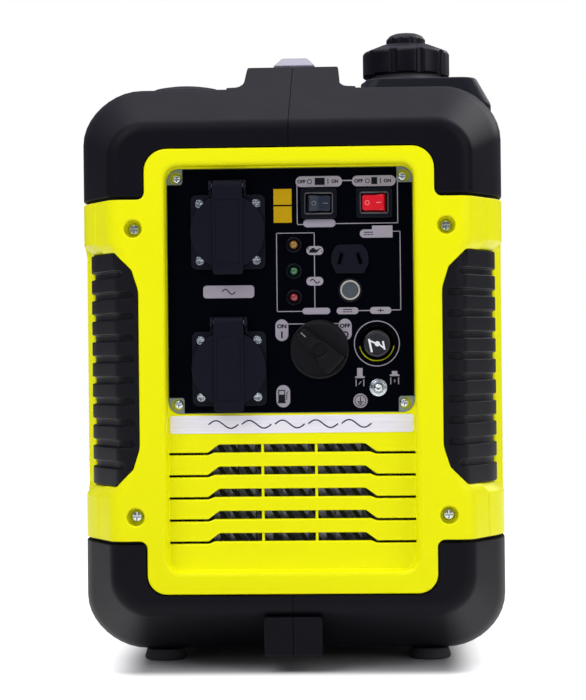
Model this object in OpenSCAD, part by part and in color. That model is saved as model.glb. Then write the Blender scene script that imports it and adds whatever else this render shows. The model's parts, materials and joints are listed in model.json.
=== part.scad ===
/* [Casing] */
// Width over the side panels
body_w = 290; // [260:1:350]
// Length from the front face to the rear face
body_l = 498; // [420:1:600]
// Height of the flat top of the casing above the ground
casing_top = 400; // [385:1:440]
// Height of the rubber feet under the casing
foot_h = 8; // [6:0.5:14]
// Thickness of the black shells
wall = 3; // [2:0.1:4]
// Depth of the yellow belt and the corner grips over the shells
belt_t = 4; // [3:0.1:6]
// Radius of the long edges of the casing
corner_r = 40; // [30:1:50]
// Run of the bevel at the end, measured along the top
top_bevel = 60; // [45:1:70]
// Run of the bevel at the end, measured along the sides
side_bevel = 44; // [36:1:50]
// How far the bevels draw each side in
side_draw = 25; // [18:1:30]

/* [Front and rear frames] */
// Width of the raised frame
frame_w = 194; // [184:1:200]
// Lower edge of the raised frame
frame_z0 = 53.4; // [48:0.2:60]
// Upper edge of the raised frame
frame_z1 = 351.7; // [345:0.1:356]
// Width of the rim of the raised frame
rim_w = 13.6; // [11:0.1:16]
// Depth of the recess inside the rim
recess_d = 12; // [9:0.5:14]
// Lower edge of the yellow belt
belt_z0 = 89; // [80:1:95]
// Upper edge of the yellow belt
belt_z1 = 318; // [310:1:325]
// Seam between the frame's wing and the side panel, behind the front face
seam_d = 22; // [18:1:30]
// Spacing of the frame screws across
frame_screw_w = 209.6; // [205:0.1:214]
// Height of the lower frame screws
frame_screw_z0 = 105.3; // [102:0.1:112]
// Height of the upper frame screws
frame_screw_z1 = 298.6; // [292:0.1:304]

/* [Control panel] */
// Width of the control panel
panel_w = 165; // [150:1:166]
// Lower edge of the control panel
panel_z0 = 174.4; // [173.5:0.1:176]
// Upper edge of the control panel
panel_z1 = 338.6; // [336:0.1:339.5]
// Thickness of the metal panel
panel_t = 1.5; // [1:0.1:2]
// Thickness of the printed overlay
overlay_t = 0.4; // [0.2:0.1:0.6]
// Side of the square mains sockets
socket_w = 50; // [48:0.5:52]
// Diameter of the fuel and engine knob
knob_d = 40; // [34:0.5:42]

/* [Handle and filler] */
// Width of the carrying handle
handle_w = 36; // [30:1:40]
// Height of the top of the handle
handle_top = 430; // [424:1:440]
// Length of the well under the handle
well_l = 236; // [200:1:250]
// Height of the floor of the well
well_floor = 366; // [362:1:372]
// Place of the fuel filler across
filler_x = 83; // [78:1:86]
// Place of the fuel filler along
filler_y = -31; // [-40:1:0]
// Height of the deck round the filler
deck_top = 418; // [414:1:424]
// Diameter of the fuel cap
cap_d = 67; // [62:1:72]
// Height of the fuel cap without its vent knob
cap_h = 24.6; // [20:0.2:28]

/* [Engine] */
// Height of the crankshaft
crank_z = 122; // [116:1:130]
// Place of the crankshaft along
crank_y = 10; // [0:1:20]
// Diameter of the crankshaft
crank_d = 25; // [22:0.5:28]
// Diameter of the alternator rotor
rotor_d = 150; // [130:1:156]
// Straight length of starter rope behind the grip
rope_l = 104; // [80:1:110]

/* [Clearances] */
// Radial clearance of a running pin or shaft
run_gap = 0.05; // [0.03:0.01:0.08]
// Clearance between pieces that move past each other
slide_gap = 0.35; // [0.3:0.05:0.6]
// Gap between fixed covers
seam_gap = 0.3; // [0.2:0.05:0.6]

/* [Hidden] */
$fn = 64;
eps = 0.01;
front = -body_l / 2;
half_w = body_w / 2;

// Casing: how far the bevels draw in the top and the underside at the end faces
top_draw = 31;
low_draw = 33;
zone_z0 = foot_h + low_draw;
zone_z1 = casing_top - top_draw;
belt_gap = 2;
back_gap = 0.2;
inner_x = half_w - belt_t - wall;
floor_z = foot_h + wall;

// Frames
frame_r_low = 13;
frame_r_high = 15;
frame_gap = 0.8;
rim_r = 9;
rim_x = frame_w / 2 - rim_w;
rim_z0 = frame_z0 + 15;
rim_z1 = frame_z1 - 11.5;
recess_y = front + recess_d;
floor_t = 3;
wing_fillet = 4;
well_d = 12;
well_depth = 11;
screw_d = 4.6;
screw_head_d = 8.4;
boss_d = 16;
side_screw_sink = 2.6;
boss_len = 16;
post_len = 20;
side_screws = [for (y = [-150, 168], z = [belt_z0 + 18, belt_z1 - 18]) [y, z]];
frame_screws = [for (x = [-1, 1], z = [frame_screw_z0, frame_screw_z1]) [x * frame_screw_w / 2, z]];

// Corner grips
grip_x0 = frame_w / 2 + 4.5;
grip_x1 = half_w - 8;
grip_z0 = belt_z0 + 36.3;
grip_z1 = belt_z1 - 35.1;
grip_cut = [17, 24];
grip_step = [4.6, 11.4];
groove_h = 4.6;
groove_d = 2.2;
groove_pitch = 14.25;
groove_count = 10;
grip_mid_z = (grip_z0 + grip_z1) / 2;

// Louvres in the lower part of the front frame: centre line of each slot's thin end
louvre_pitch = 14.95;
louvre_z0 = rim_z0 + 18.6;
louvre_count = 5;
louvre_x = [48, 54.8, rim_x - 4.4];
louvre_h = [1.8, 4.9];
louvre_rise = 1.9;
louvre_rib_w = 2.6;
louvre_ribs = [-17.6, 18.2];

// Panel: face_y is the front of the printed overlay
plate_y = recess_y;
face_y = plate_y - overlay_t;
panel_notch = 10.4;
panel_gap = 0.4;
panel_screws_at = [for (x = [-1, 1], z = [panel_z0 + 5.9, panel_z1 - 6.4]) [x * (panel_w / 2 - 6.6), z]];
window = [panel_w / 2 - 3.6, panel_z0 + 2.6, panel_z1 - 2.6];
strip_z0 = panel_z0 - 13.8;
strip_h = 12;
socket_x = -41.4;
sockets_z = [204.2, 296];
socket_screw_pitch = 38.2;
flange_t = 3.5;
cup_d = 40;
cup_depth = 17;
barrel_d = 46;
barrel_len = 32;
pole_pitch = 19;
pin_hole_d = 5.2;
contact_d = 7;
cup_floor_y = face_y - flange_t + cup_depth;
lid_d = 50;
lid_t = 4.8;
strap_w = 20.2;
strap_t = 1.8;
lid_axis_up = 31;
lid_axis_y = face_y - 5.8;
lid_pin_d = 3;
knuckle_d = 7.6;
ear_w = 2;
switches = [[19.7, 314.6], [56.9, 314.6]];
bezel = [24.2, 20];
bezel_t = 2.6;
switch_pocket = [17.6, 13.2];
rocker_half = 7.9;
rocker_tilt = 9;
rocker_axis_y = face_y + 1.4;
rocker_pin_d = 3;
lamp_x = 2.6;
lamps_z = [287, 269.3, 251.6];
lamp_d = 11;
dc_at = [40.3, 277];
dc_size = [25.3, 19.4];
dc_corner = 5;
dc_slot = [6.3, 1.8, 7.2];  // each slot's distance from the middle, width and height
dc_slot_lean = 17;
breaker_at = [40.3, 256.1];
breaker_d = 16.4;
button_d = 13.6;
button_travel = 3;
knob_at = [19.3, 216.5];
spindle_d = 8;
knob_bar_w = [8.4, 17.8];  // the grip's narrow end at the pointer, and its wide end
choke_at = [57.8, 220.1];
choke_hole_d = 23.8;
choke_d = 18.2;
choke_rod_d = 8;
choke_travel = 14;
ground_at = [58.3, 190.5];
ground_stud_d = 6;

// Handle, well and filler
bevel_slope = top_draw / top_bevel;
function bevel_y(z) = front + (z - casing_top + top_draw) / bevel_slope;
foot_top = casing_top + 18;
foot_half = [37, 31];
insert_h = 11;
insert_half = [15, 9.5];
insert_l = well_l + 14;
bar_top = handle_top - 9;
bar_z0 = casing_top - 2;
well_x = [-48, 36];
well_r = 14;
cover_at = [-80, -110];
cover_d = 60;
cover_hole_d = 52;
neck_d = 54;
neck_bore_d = 49;
neck_top = deck_top + 10;
cap_z = deck_top + 8;
knob_z = cap_z + cap_h;
vent_d = 30;
vent_h = 9.4;

// Tank
tank_x = [-12, half_w - 17];
tank_z = [290, 358];
tank_upper_x = [44, half_w - 21];
tank_top = casing_top - 12;
tank_t = 2;
tank_y = [-130, 120];
tank_upper_y = [-95, 60];

// Engine, all about the crankshaft's axis
case_x = [-45, 50];
case_r = 64;
case_t = 6;
lean = 35;
deck_d = 66;
head_d = [128, 165];
fin_half = 42;
fin_t = 2.4;
fin_pitch = 7;
cyl_d = 62;
foot_plate_z = 46;
foot_plate_y = [crank_y - 76, crank_y + 82];
mounts_at = [for (x = [case_x[0] + 15, case_x[1] - 15], y = [foot_plate_y[0] + 14, foot_plate_y[1] - 14]) [x, y]];
mount_d = 26;
rotor_x = [-108, -66];
rotor_rim = 9;
fan_x = -116;
stator_d = rotor_d - 2 * rotor_rim - 3;
shroud_d = rotor_d + 15;
shroud_t = 2.5;
shroud_x = [-136, -48];
reel_d = 104;
reel_x = [-132.8, -121.5];
reel_post_d = 12;
grip_at = [62, 232];
grip_size = [70, 24, 17];
grip_pocket = [78, 32, 21];
pocket_back = -half_w + grip_pocket[2] + wall;
starter_arm_x = [pocket_back, max(pocket_back, shroud_x[0] + 15) + 9];
rope_d = 4.4;
port_d = 140;
port_y = crank_y - port_d * sin(lean);
port_z = crank_z + port_d * cos(lean);
pipe_d = 20;
pipe_x = case_x[1] + 22;
muffler_x = [-60, 88];
muffler_y = [135, 215];
muffler_z = [110, 258];
outlet_at = [45, 150];
outlet_d = 34;
outlet_bore_d = 28;
outlet_len = 27;

feet_at = [for (x = [-93, 93], y = [-173, 173]) [x, y]];
foot_d = 30;

// Helpers: prisms along each axis, whose outlines are drawn in (x, z), (y, z) and (x, y)
module prism_y(y0, y1) translate([0, y1, 0]) rotate([90, 0, 0]) linear_extrude(y1 - y0) children();
module prism_x(x0, x1) translate([x0, 0, 0]) rotate([90, 0, 90]) linear_extrude(x1 - x0) children();
module prism_z(z0, z1) translate([0, 0, z0]) linear_extrude(z1 - z0) children();
module rod_y(at, d, y0, y1) prism_y(y0, y1) translate(at) circle(d = d);
module rod_x(at, d, x0, x1) prism_x(x0, x1) translate(at) circle(d = d);
module rod_z(at, d, z0, z1) prism_z(z0, z1) translate(at) circle(d = d);
module block(x, y, z) translate([x[0], y[0], z[0]]) cube([x[1] - x[0], y[1] - y[0], z[1] - z[0]]);

// Turned shape on the panel, its outline in (radius, distance in front of y)
module turned_y(at, y) translate([at[0], y, at[1]]) rotate([90, 0, 0]) rotate_extrude() children();

// Rectangle between two corners with its corners rounded
module rounded(x, z, r) {
  translate([x[0] + r, z[0]]) square([x[1] - x[0] - 2 * r, z[1] - z[0]]);
  translate([x[0], z[0] + r]) square([x[1] - x[0], z[1] - z[0] - 2 * r]);
  for (px = [x[0] + r, x[1] - r], pz = [z[0] + r, z[1] - r]) translate([px, pz]) circle(r);
}

// Rounded rectangle of a size, about a centre
module rounded_at(at, size, r)
  translate(at) rounded([-size[0] / 2, size[0] / 2], [-size[1] / 2, size[1] / 2], r);

// Copies turned about an axis along x, through a point in (y, z)
module around_x(at, count) for (i = [0:count - 1])
  translate([0, at[0], at[1]]) rotate([i * 360 / count, 0, 0]) children();

// How far a bevel's two corners move along its sides when the form is drawn in by one unit
function face_shift(run, rise) = tan(atan2(run, rise) / 2);
function side_shift(run, rise) = tan(atan2(rise, run) / 2);

// Common outer form of the casing, drawn in by inset on every side
module casing_form(inset = 0) {
  x = half_w - inset;
  y = body_l / 2 - inset;
  zone_x = half_w - side_draw - inset * face_shift(side_bevel, side_draw);
  side_y = body_l / 2 - side_bevel - inset * side_shift(side_bevel, side_draw);
  top_y = body_l / 2 - top_bevel - inset * side_shift(top_bevel, top_draw);
  low_y = body_l / 2 - top_bevel - inset * side_shift(top_bevel, low_draw);
  end_z0 = zone_z0 + inset * face_shift(top_bevel, low_draw);
  end_z1 = zone_z1 - inset * face_shift(top_bevel, top_draw);
  z = [foot_h + inset, casing_top - inset];
  intersection() {
    prism_y(-y, y) rounded([-x, x], z, corner_r - inset);
    prism_z(0, casing_top) polygon([
      [-zone_x, -y], [zone_x, -y], [x, -side_y], [x, side_y],
      [zone_x, y], [-zone_x, y], [-x, side_y], [-x, -side_y]]);
    prism_x(-half_w, half_w) polygon([
      [-y, end_z0], [-low_y, z[0]], [low_y, z[0]], [y, end_z0],
      [y, end_z1], [top_y, z[1]], [-top_y, z[1]], [-y, end_z1]]);
  }
}

// Outline of the raised part of the frame, grown by gap
module ring_outline(gap = 0) {
  x = [-frame_w / 2 - gap, frame_w / 2 + gap];
  split = (frame_z0 + frame_z1) / 2;
  intersection() {
    rounded(x, [frame_z0 - gap, frame_z1 + gap], frame_r_low + gap);
    translate([x[0], frame_z0 - gap]) square([x[1] - x[0], split - frame_z0 + gap]);
  }
  intersection() {
    rounded(x, [frame_z0 - gap, frame_z1 + gap], frame_r_high + gap);
    translate([x[0], split]) square([x[1] - x[0], frame_z1 + gap - split]);
  }
}

// Front outline of the frame with its two wings and the fillets between them
module frame_outline() {
  ring_outline();
  translate([-half_w, belt_z0]) square([body_w, belt_z1 - belt_z0]);
  for (sx = [-1, 1], end = [0, 1]) {
    z = end ? belt_z1 : belt_z0;
    translate([sx * frame_w / 2, z]) mirror([sx < 0 ? 1 : 0, 0]) mirror([0, end ? 0 : 1]) difference() {
      square(wing_fillet);
      translate([wing_fillet, wing_fillet]) circle(wing_fillet);
    }
  }
}

// Outline of a right-hand corner grip, drawn in by gap
module grip_outline(gap = 0) {
  z0 = grip_z0 + gap;
  z1 = grip_z1 - gap;
  x0 = grip_x0 + gap;
  polygon([
    [grip_x1 - gap, z0], [x0 + grip_cut[0], z0], [x0 + grip_step[0], z0 + grip_step[1]],
    [x0, z0 + grip_cut[1]], [x0, z1 - grip_cut[1]], [x0 + grip_step[0], z1 - grip_step[1]],
    [x0 + grip_cut[0], z1], [grip_x1 - gap, z1]]);
}

// Puts something drawn at the front right at any of the four corners
module at_corner(side, end) mirror([side < 0 ? 1 : 0, 0, 0]) mirror([0, end > 0 ? 1 : 0, 0]) children();

module grip_openings(end)
  for (side = [-1, 1]) at_corner(side, end) prism_y(front - 1, front + top_bevel) grip_outline();

// Casing shells
module handle_side() {
  half = [
    [bevel_y(casing_top - 15), casing_top - 15], [bevel_y(foot_top), foot_top],
    [-well_l / 2 - 16, foot_top], [-well_l / 2 - 10, bar_top]];
  difference() {
    polygon(concat(half, [for (i = [3:-1:0]) [-half[i][0], half[i][1]]]));
    rounded([-well_l / 2 + 1, well_l / 2 - 1], [casing_top - 60, bar_z0], 14);
  }
}

module foot_section()
  polygon([
    [-foot_half[0], casing_top - 15], [-foot_half[0], casing_top], [-foot_half[1] - 2, casing_top + 5],
    [-foot_half[1] - 1, foot_top - 3], [-foot_half[1] + 3, foot_top], [foot_half[1] - 3, foot_top],
    [foot_half[1] + 1, foot_top - 3], [foot_half[1] + 2, casing_top + 5], [foot_half[0], casing_top],
    [foot_half[0], casing_top - 15]]);

module bar_section()
  intersection() {
    rounded([-handle_w / 2, handle_w / 2], [bar_z0, bar_top + 20], 7);
    translate([-handle_w, bar_z0]) square([2 * handle_w, bar_top - bar_z0]);
  }

module handle() {
  intersection() {
    union() {
      for (end = [-1, 1]) {
        y = end * (well_l / 2 + 0.5);
        hull() {
          prism_y(y - 0.5, y + 0.5) intersection() {
            foot_section();
            translate([-50, bar_z0]) square([100, 40]);
          }
          prism_y(end * (well_l / 2 - 26) - 0.5, end * (well_l / 2 - 26) + 0.5) bar_section();
        }
      }
      prism_y(-body_l / 2, -well_l / 2) foot_section();
      prism_y(well_l / 2, body_l / 2) foot_section();
      prism_y(-well_l / 2 - 16, well_l / 2 + 16) bar_section();
    }
    difference() {
      prism_x(-foot_half[0] - 1, foot_half[0] + 1) handle_side();
      block([-insert_half[0] - 0.3, insert_half[0] + 0.3], [-insert_l / 2 - 0.3, insert_l / 2 + 0.3],
            [handle_top - insert_h, handle_top]);
    }
  }
}

module well_walls() {
  prism_z(well_floor - wall, casing_top - 1)
    rounded([well_x[0] - wall, well_x[1] + wall], [-well_l / 2 - wall, well_l / 2 + wall], well_r + wall);
}

module centre_block(end) {
  low = zone_z0;
  run = top_bevel / low_draw;
  z0 = foot_h + 4;
  mirror([0, end > 0 ? 1 : 0, 0]) prism_x(-19.5, 19.5) polygon([
    [front, z0], [front, low - 3], [front + 3 * run + wall, low - 3],
    [front + (low - z0) * run + wall, z0]]);
}

module screw_posts() intersection() {
  for (end = [-1, 1], side = [-1, 1], z = [frame_screw_z0, frame_screw_z1]) at_corner(side, end)
    block([frame_w / 2 - 1, half_w], [front + boss_len + back_gap, front + boss_len + post_len],
          [z - 9, z + 9]);
  casing_form(belt_t + 1);
}

module shell_cuts() {
  for (end = [0, 1]) mirror([0, end, 0]) {
    prism_y(front - 1, front + 24) ring_outline(frame_gap);
    for (s = frame_screws) {
      rod_y(s, boss_d + 1, front - 1, front + boss_len + back_gap);
      rod_y(s, screw_d + 0.2, front, front + boss_len + post_len + 1);
    }
    rod_y([9, foot_h + 12], 6, front - 1, front + 6);
  }
  prism_z(well_floor, casing_top + 1)
    rounded(well_x, [-well_l / 2, well_l / 2], well_r);
  rod_z([filler_x, filler_y], neck_d + 5, casing_top - 20, casing_top + 1);
  rod_z(cover_at, cover_hole_d + 1, casing_top - 12, casing_top + 1);
  for (f = feet_at) rod_z(f, 10.6, foot_h - 1, floor_z + 1);
}

module grip_pocket_at(grow, x0, x1)
  prism_x(x0, x1)
    rounded_at(grip_at, [grip_pocket[0] + 2 * grow, grip_pocket[1] + 2 * grow], 6 + grow);

module shell_half(side) {
  top_gap = belt_z1 + belt_gap;
  low_gap = belt_z0 - belt_gap;
  intersection() {
    block(side > 0 ? [seam_gap / 2, half_w + 1] : [-half_w - 1, -seam_gap / 2],
          [front - 1, -front + 1], [0, handle_top]);
    union() {
      difference() {
        union() {
          difference() {
            casing_form();
            difference() {
              block([-half_w - 1, half_w + 1], [front - 1, -front + 1], [low_gap, top_gap]);
              casing_form(belt_t);
            }
            casing_form(belt_t + wall);
            intersection() {
              casing_form(wall);
              for (z = [[0, low_gap - wall], [top_gap + wall, casing_top]])
                block([-half_w, half_w], [front, -front], z);
            }
          }
          well_walls();
          screw_posts();
          for (end = [-1, 1]) centre_block(end);
          if (side < 0) grip_pocket_at(wall, -inner_x - 0.5, pocket_back);
          if (side > 0) for (y = [-80, 30])
            block([tank_x[1] - 12, inner_x + 0.5], [y, y + 40], [tank_z[0] - 14, tank_z[0] - back_gap]);
        }
        shell_cuts();
        if (side > 0) for (s = side_screws) rod_x(s, screw_d + 0.2, inner_x - 1, half_w);
        if (side < 0) {
          grip_pocket_at(0, -half_w - 1, -half_w + grip_pocket[2]);
          rod_x(grip_at, rope_d + 6, -half_w, pocket_back + 1);
        }
      }
      handle();
    }
  }
}

module left_shell() color([0.1, 0.1, 0.14]) shell_half(-1);
module right_shell() color([0.1, 0.1, 0.14]) shell_half(1);

// Yellow frames
module frame_body() {
  difference() {
    union() {
      difference() {
        union() {
          intersection() {
            difference() {
              casing_form();
              casing_form(belt_t - back_gap);
            }
            prism_y(front - 1, front + seam_d - seam_gap / 2) frame_outline();
          }
          prism_y(front, recess_y + floor_t) ring_outline();
        }
        prism_y(front + floor_t, recess_y + floor_t + 1) difference() {
          offset_ring(3);
          offset_rim(3);
        }
        prism_y(front - 1, recess_y) offset_rim(0);
      }
      for (s = frame_screws) rod_y(s, boss_d, front, front + boss_len);
    }
    for (s = frame_screws) {
      rod_y(s, well_d, front - 1, front + well_depth);
      rod_y(s, screw_d + 0.4, front, front + boss_len + 1);
    }
    grip_openings(-1);
  }
}

// The raised frame's outline drawn in, and the recess outline grown, by a distance
module offset_ring(d)
  rounded([-frame_w / 2 + d, frame_w / 2 - d], [frame_z0 + d, frame_z1 - d], frame_r_low - d);
module offset_rim(d)
  rounded([-rim_x - d, rim_x + d], [rim_z0 - d, rim_z1 + d], rim_r + d);

module louvre_slot(z) {
  t = louvre_h[0];
  half = [
    [louvre_x[2], z - t / 2], [louvre_x[2], z + t / 2], [louvre_x[1], z + t / 2],
    [louvre_x[0], z - t / 2 + louvre_rise + louvre_h[1]]];
  lower = [[louvre_x[0], z - t / 2 + louvre_rise], [louvre_x[1], z - t / 2]];
  polygon(concat(
    half, [for (i = [3:-1:0]) [-half[i][0], half[i][1]]],
    [[-lower[1][0], lower[1][1]], [-lower[0][0], lower[0][1]]], lower));
}

// Outline of the opening behind the metal panel, with a lug left for each panel screw
module panel_window() difference() {
  rounded([-window[0], window[0]], [window[1], window[2]], 5);
  for (s = panel_screws_at) translate(s) circle(7);
}

module choke_tube() {
  arm_x = choke_at[0] + choke_hole_d / 2;
  intersection() {
    difference() {
      rod_y(choke_at, choke_hole_d + 3, plate_y + panel_t + back_gap, plate_y + 17);
      rod_y(choke_at, choke_d + 0.9, plate_y, plate_y + 14);
    }
    block([0, half_w], [plate_y, plate_y + 14], [0, choke_at[1]]);
  }
  difference() {
    rod_y(choke_at, choke_hole_d + 3, plate_y + 14, plate_y + 17);
    rod_y(choke_at, choke_rod_d + 0.2, plate_y, plate_y + 20);
  }
  block([arm_x - 1, window[0] + 4], [plate_y + panel_t + back_gap, plate_y + 17],
        [choke_at[1] - 6, choke_at[1] - 1]);
}

module front_frame() color([0.93, 0.93, 0.02]) {
  difference() {
    frame_body();
    prism_y(plate_y - 1, plate_y + panel_t) plate_outline(-panel_gap);
    prism_y(plate_y, plate_y + floor_t + 1) panel_window();
    for (i = [0:louvre_count - 1])
      prism_y(plate_y - 1, plate_y + floor_t + 1) difference() {
        louvre_slot(louvre_z0 + i * louvre_pitch);
        for (x = louvre_ribs) translate([x - louvre_rib_w / 2, rim_z0]) square([louvre_rib_w, 90]);
      }
    for (s = panel_screws_at) rod_y(s, 3, plate_y, plate_y + floor_t + 1);
  }
  choke_tube();
}

module rear_frame() color([0.93, 0.93, 0.02]) mirror([0, 1, 0]) difference() {
  frame_body();
  prism_y(plate_y - 1, plate_y + floor_t + 1) offset_rim(-6);
}

module side_panel(side) {
  y_seam = body_l / 2 - seam_d - seam_gap / 2;
  intersection() {
    difference() {
      casing_form();
      casing_form(belt_t - back_gap);
      for (end = [-1, 1]) grip_openings(end);
    }
    block(side > 0 ? [half_w - side_draw, half_w + 1] : [-half_w - 1, side_draw - half_w],
          [-y_seam, y_seam], [belt_z0, belt_z1]);
  }
}

// Rows of cooling slots in a side panel, over a rectangle in (y, z)
module side_slots(side, y, z, pitch) {
  x = side > 0 ? [half_w - belt_t - 1, half_w + 1] : [-half_w - 1, belt_t + 1 - half_w];
  for (zz = [z[0]:pitch:z[1]])
    prism_x(x[0], x[1]) rounded(y, [zz, zz + 5], 2.4);
}

module left_side_panel() color([0.93, 0.93, 0.02]) difference() {
  side_panel(-1);
  grip_pocket_at(0.4, -half_w - 1, -half_w + belt_t + 1);
  side_slots(-1, [crank_y - 62, crank_y + 62], [104, 176], 12);
}

module right_side_panel() color([0.93, 0.93, 0.02]) difference() {
  side_panel(1);
  side_slots(1, [30, 140], [116, 188], 12);
  for (s = side_screws) {
    rod_x(s, 11, half_w - side_screw_sink, half_w + 1);
    rod_x(s, screw_d + 0.4, half_w - belt_t - 1, half_w + 1);
  }
}

// Ribbed grips at the four corners
module corner_grip(side, end) color([0.09, 0.09, 0.12]) at_corner(side, end) difference() {
  intersection() {
    casing_form();
    prism_y(front - 1, front + top_bevel) grip_outline(seam_gap);
  }
  casing_form(belt_t - back_gap);
  difference() {
    for (i = [0:groove_count - 1]) {
      z = grip_mid_z + (i - (groove_count - 1) / 2) * groove_pitch;
      x = grip_x0 + (i == 0 || i == groove_count - 1 ? 11 : 3.4) + groove_h / 2;
      block([x, half_w], [front - 1, front + top_bevel], [z - groove_h / 2, z + groove_h / 2]);
      rod_y([x, z], groove_h, front - 1, front + top_bevel);
    }
    casing_form(groove_d);
  }
}
module grip_front_left() corner_grip(-1, -1);
module grip_front_right() corner_grip(1, -1);
module grip_rear_left() corner_grip(-1, 1);
module grip_rear_right() corner_grip(1, 1);

// Handle insert, filler deck and covers on the top
module handle_grip() color([0.75, 0.75, 0.8]) intersection() {
  z0 = handle_top - insert_h;
  shoulder = handle_top - insert_half[0] + insert_half[1];
  union() {
    prism_y(-insert_l / 2, insert_l / 2) polygon([
      [-insert_half[0], z0], [-insert_half[0], shoulder], [-insert_half[1], handle_top],
      [insert_half[1], handle_top], [insert_half[0], shoulder], [insert_half[0], z0]]);
  }
  prism_x(-insert_half[0], insert_half[0]) polygon([
    [-insert_l / 2, z0], [-insert_l / 2, shoulder - 1], [-insert_l / 2 + 8, handle_top],
    [insert_l / 2 - 8, handle_top], [insert_l / 2, shoulder - 1], [insert_l / 2, z0]]);
}

module fuel_deck() color([0.1, 0.11, 0.15]) difference() {
  union() {
    intersection() {
      hull() {
        prism_z(deck_top - 46, deck_top - 20)
          rounded([filler_x - 44, half_w - 0.2], [filler_y - 69, filler_y + 69], 14, $fn = 32);
        prism_z(deck_top - eps, deck_top)
          rounded([filler_x - 31, half_w - 11], [filler_y - 63, filler_y + 63], 12, $fn = 32);
      }
      block([0, half_w - 0.2], [filler_y - 80, filler_y + 80], [casing_top - 28, deck_top]);
    }
    rod_z([filler_x, filler_y], cap_d + 3, deck_top - 6, deck_top + 4);
  }
  casing_form(-back_gap);
  rod_z([filler_x, filler_y], neck_d + 0.6, casing_top - 30, deck_top + 5);
}

module spark_plug_cover() color([0.1, 0.1, 0.14]) translate([cover_at[0], cover_at[1], casing_top])
  rotate_extrude() {
    polygon([
      [0, -6], [cover_hole_d / 2 - 3, -6], [cover_hole_d / 2 - slide_gap, -4.5],
      [cover_hole_d / 2 - slide_gap, 0.3], [cover_d / 2, 0.3], [cover_d / 2, 4],
      [cover_d / 2 - 2, 7], [cover_d / 2 - 7, 9.5], [cover_d / 2 - 15, 11], [0, 11.5]]);
  }

// Fuel tank with its neck, and the cap
module tank_shape(t) {
  prism_z(tank_z[0] + t, tank_z[1] - t)
    rounded([tank_x[0] + t, tank_x[1] - t], [tank_y[0] + t, tank_y[1] - t], 22 - t);
  prism_z(tank_z[0] + t, tank_top - t)
    rounded([tank_upper_x[0] + t, tank_upper_x[1] - t], [tank_upper_y[0] + t, tank_upper_y[1] - t], 16 - t);
}

module fuel_tank() color([0.25, 0.25, 0.27]) difference() {
  union() {
    tank_shape(0);
    prism_z(tank_z[0] + 30, tank_z[0] + 32)
      rounded([tank_x[0] - 5, inner_x - 0.5], [tank_y[0] - 8, tank_y[1] + 8], 24);
  }
  tank_shape(tank_t);
  rod_z([filler_x, filler_y], neck_bore_d, tank_top - tank_t - 1, tank_top + 1);
}

module filler_neck() color([0.25, 0.25, 0.27]) difference() {
  rod_z([filler_x, filler_y], neck_d, tank_top, neck_top);
  rod_z([filler_x, filler_y], neck_bore_d, tank_top - 1, neck_top + 1);
}

module fuel_cap_seal() color([0.08, 0.08, 0.08])
  translate([filler_x, filler_y, neck_top + slide_gap]) rotate_extrude() {
    translate([neck_bore_d / 2, 0]) square([(neck_d - neck_bore_d) / 2 + 1.6, 2.5]);
  }

module fuel_cap() color([0.08, 0.08, 0.1]) translate([filler_x, filler_y, cap_z]) difference() {
  r = cap_d / 2;
  lobe_r = 5;
  seat = neck_top + slide_gap - cap_z;
  rotate_extrude() {
    polygon([
      [0, seat + 2.5 + run_gap], [neck_d / 2 + 1.9, seat + 2.5 + run_gap], [neck_d / 2 + 1.9, 0], [r - 1, 0],
      [r, 1], [r, cap_h - 7.4], [r - 1.4, cap_h - 5.4], [vent_d / 2 + 4, cap_h], [0, cap_h]]);
  }
  for (i = [0:9]) rotate([0, 0, i * 36]) translate([r + lobe_r - 1.6, 0, -1]) cylinder(r = lobe_r, h = cap_h + 2);
  translate([0, 0, cap_h - 9]) cylinder(d = 8 + 2 * run_gap, h = 10);
}

module vent_knob() color([0.08, 0.08, 0.1]) translate([filler_x, filler_y, knob_z + slide_gap])
  difference() {
    r = vent_d / 2;
    h = vent_h - slide_gap;
    union() {
      rotate_extrude() polygon([
        [0, 0], [r, 0], [r, h - 5], [r - 2.5, h - 2], [r - 6, h - 0.5], [r - 9, h], [0, h]]);
      translate([0, 0, -8]) cylinder(d = 8, h = 9);
    }
    for (i = [0:11]) rotate([0, 0, i * 30 + 15]) translate([r + 1.6, 0, -1]) cylinder(r = 2.4, h = h + 2);
  }

// Control panel
module plate_outline(d = 0)
  rounded([-panel_w / 2 - 0.2 + d, panel_w / 2 + 0.2 - d], [panel_z0 - 0.2 + d, panel_z1 + 0.2 - d], 8);

// Holes through the metal panel and its overlay, each grown by gap
module panel_holes(gap = 0) {
  for (z = sockets_z) {
    translate([socket_x, z]) circle(d = barrel_d + 0.6 + gap);
    for (dx = [-1, 1], dz = [-1, 1])
      translate([socket_x + dx * socket_screw_pitch / 2, z + dz * socket_screw_pitch / 2]) circle(d = 3.2);
  }
  for (s = switches) rounded_at(s, [bezel[0] - 2.4 + gap, bezel[1] - 2.4 + gap], 1);
  for (z = lamps_z) translate([lamp_x, z]) circle(d = lamp_d - 2.4 + gap);
  rounded_at(dc_at, [dc_size[0] - 2.4 + gap, dc_size[1] - 2.4 + gap], dc_corner);
  translate(breaker_at) circle(d = breaker_d - 0.8 + gap);
  translate(knob_at) circle(d = spindle_d + 6);
  translate(choke_at) circle(d = choke_hole_d);
  translate(ground_at) circle(d = ground_stud_d + 0.4);
}

module panel_plate() color([0.45, 0.45, 0.47]) prism_y(plate_y, plate_y + panel_t) difference() {
  plate_outline();
  panel_holes();
  for (s = panel_screws_at) translate(s) circle(d = 3.6);
}

module panel_overlay() color([0.02, 0.03, 0.06]) prism_y(face_y, plate_y) difference() {
  rounded([-panel_w / 2, panel_w / 2], [panel_z0, panel_z1], 1);
  for (x = [-1, 1], z = [panel_z0, panel_z1]) rounded_at([x * panel_w / 2, z], [2 * panel_notch, 2 * panel_notch], 2);
  panel_holes(0.4);
}

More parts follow.
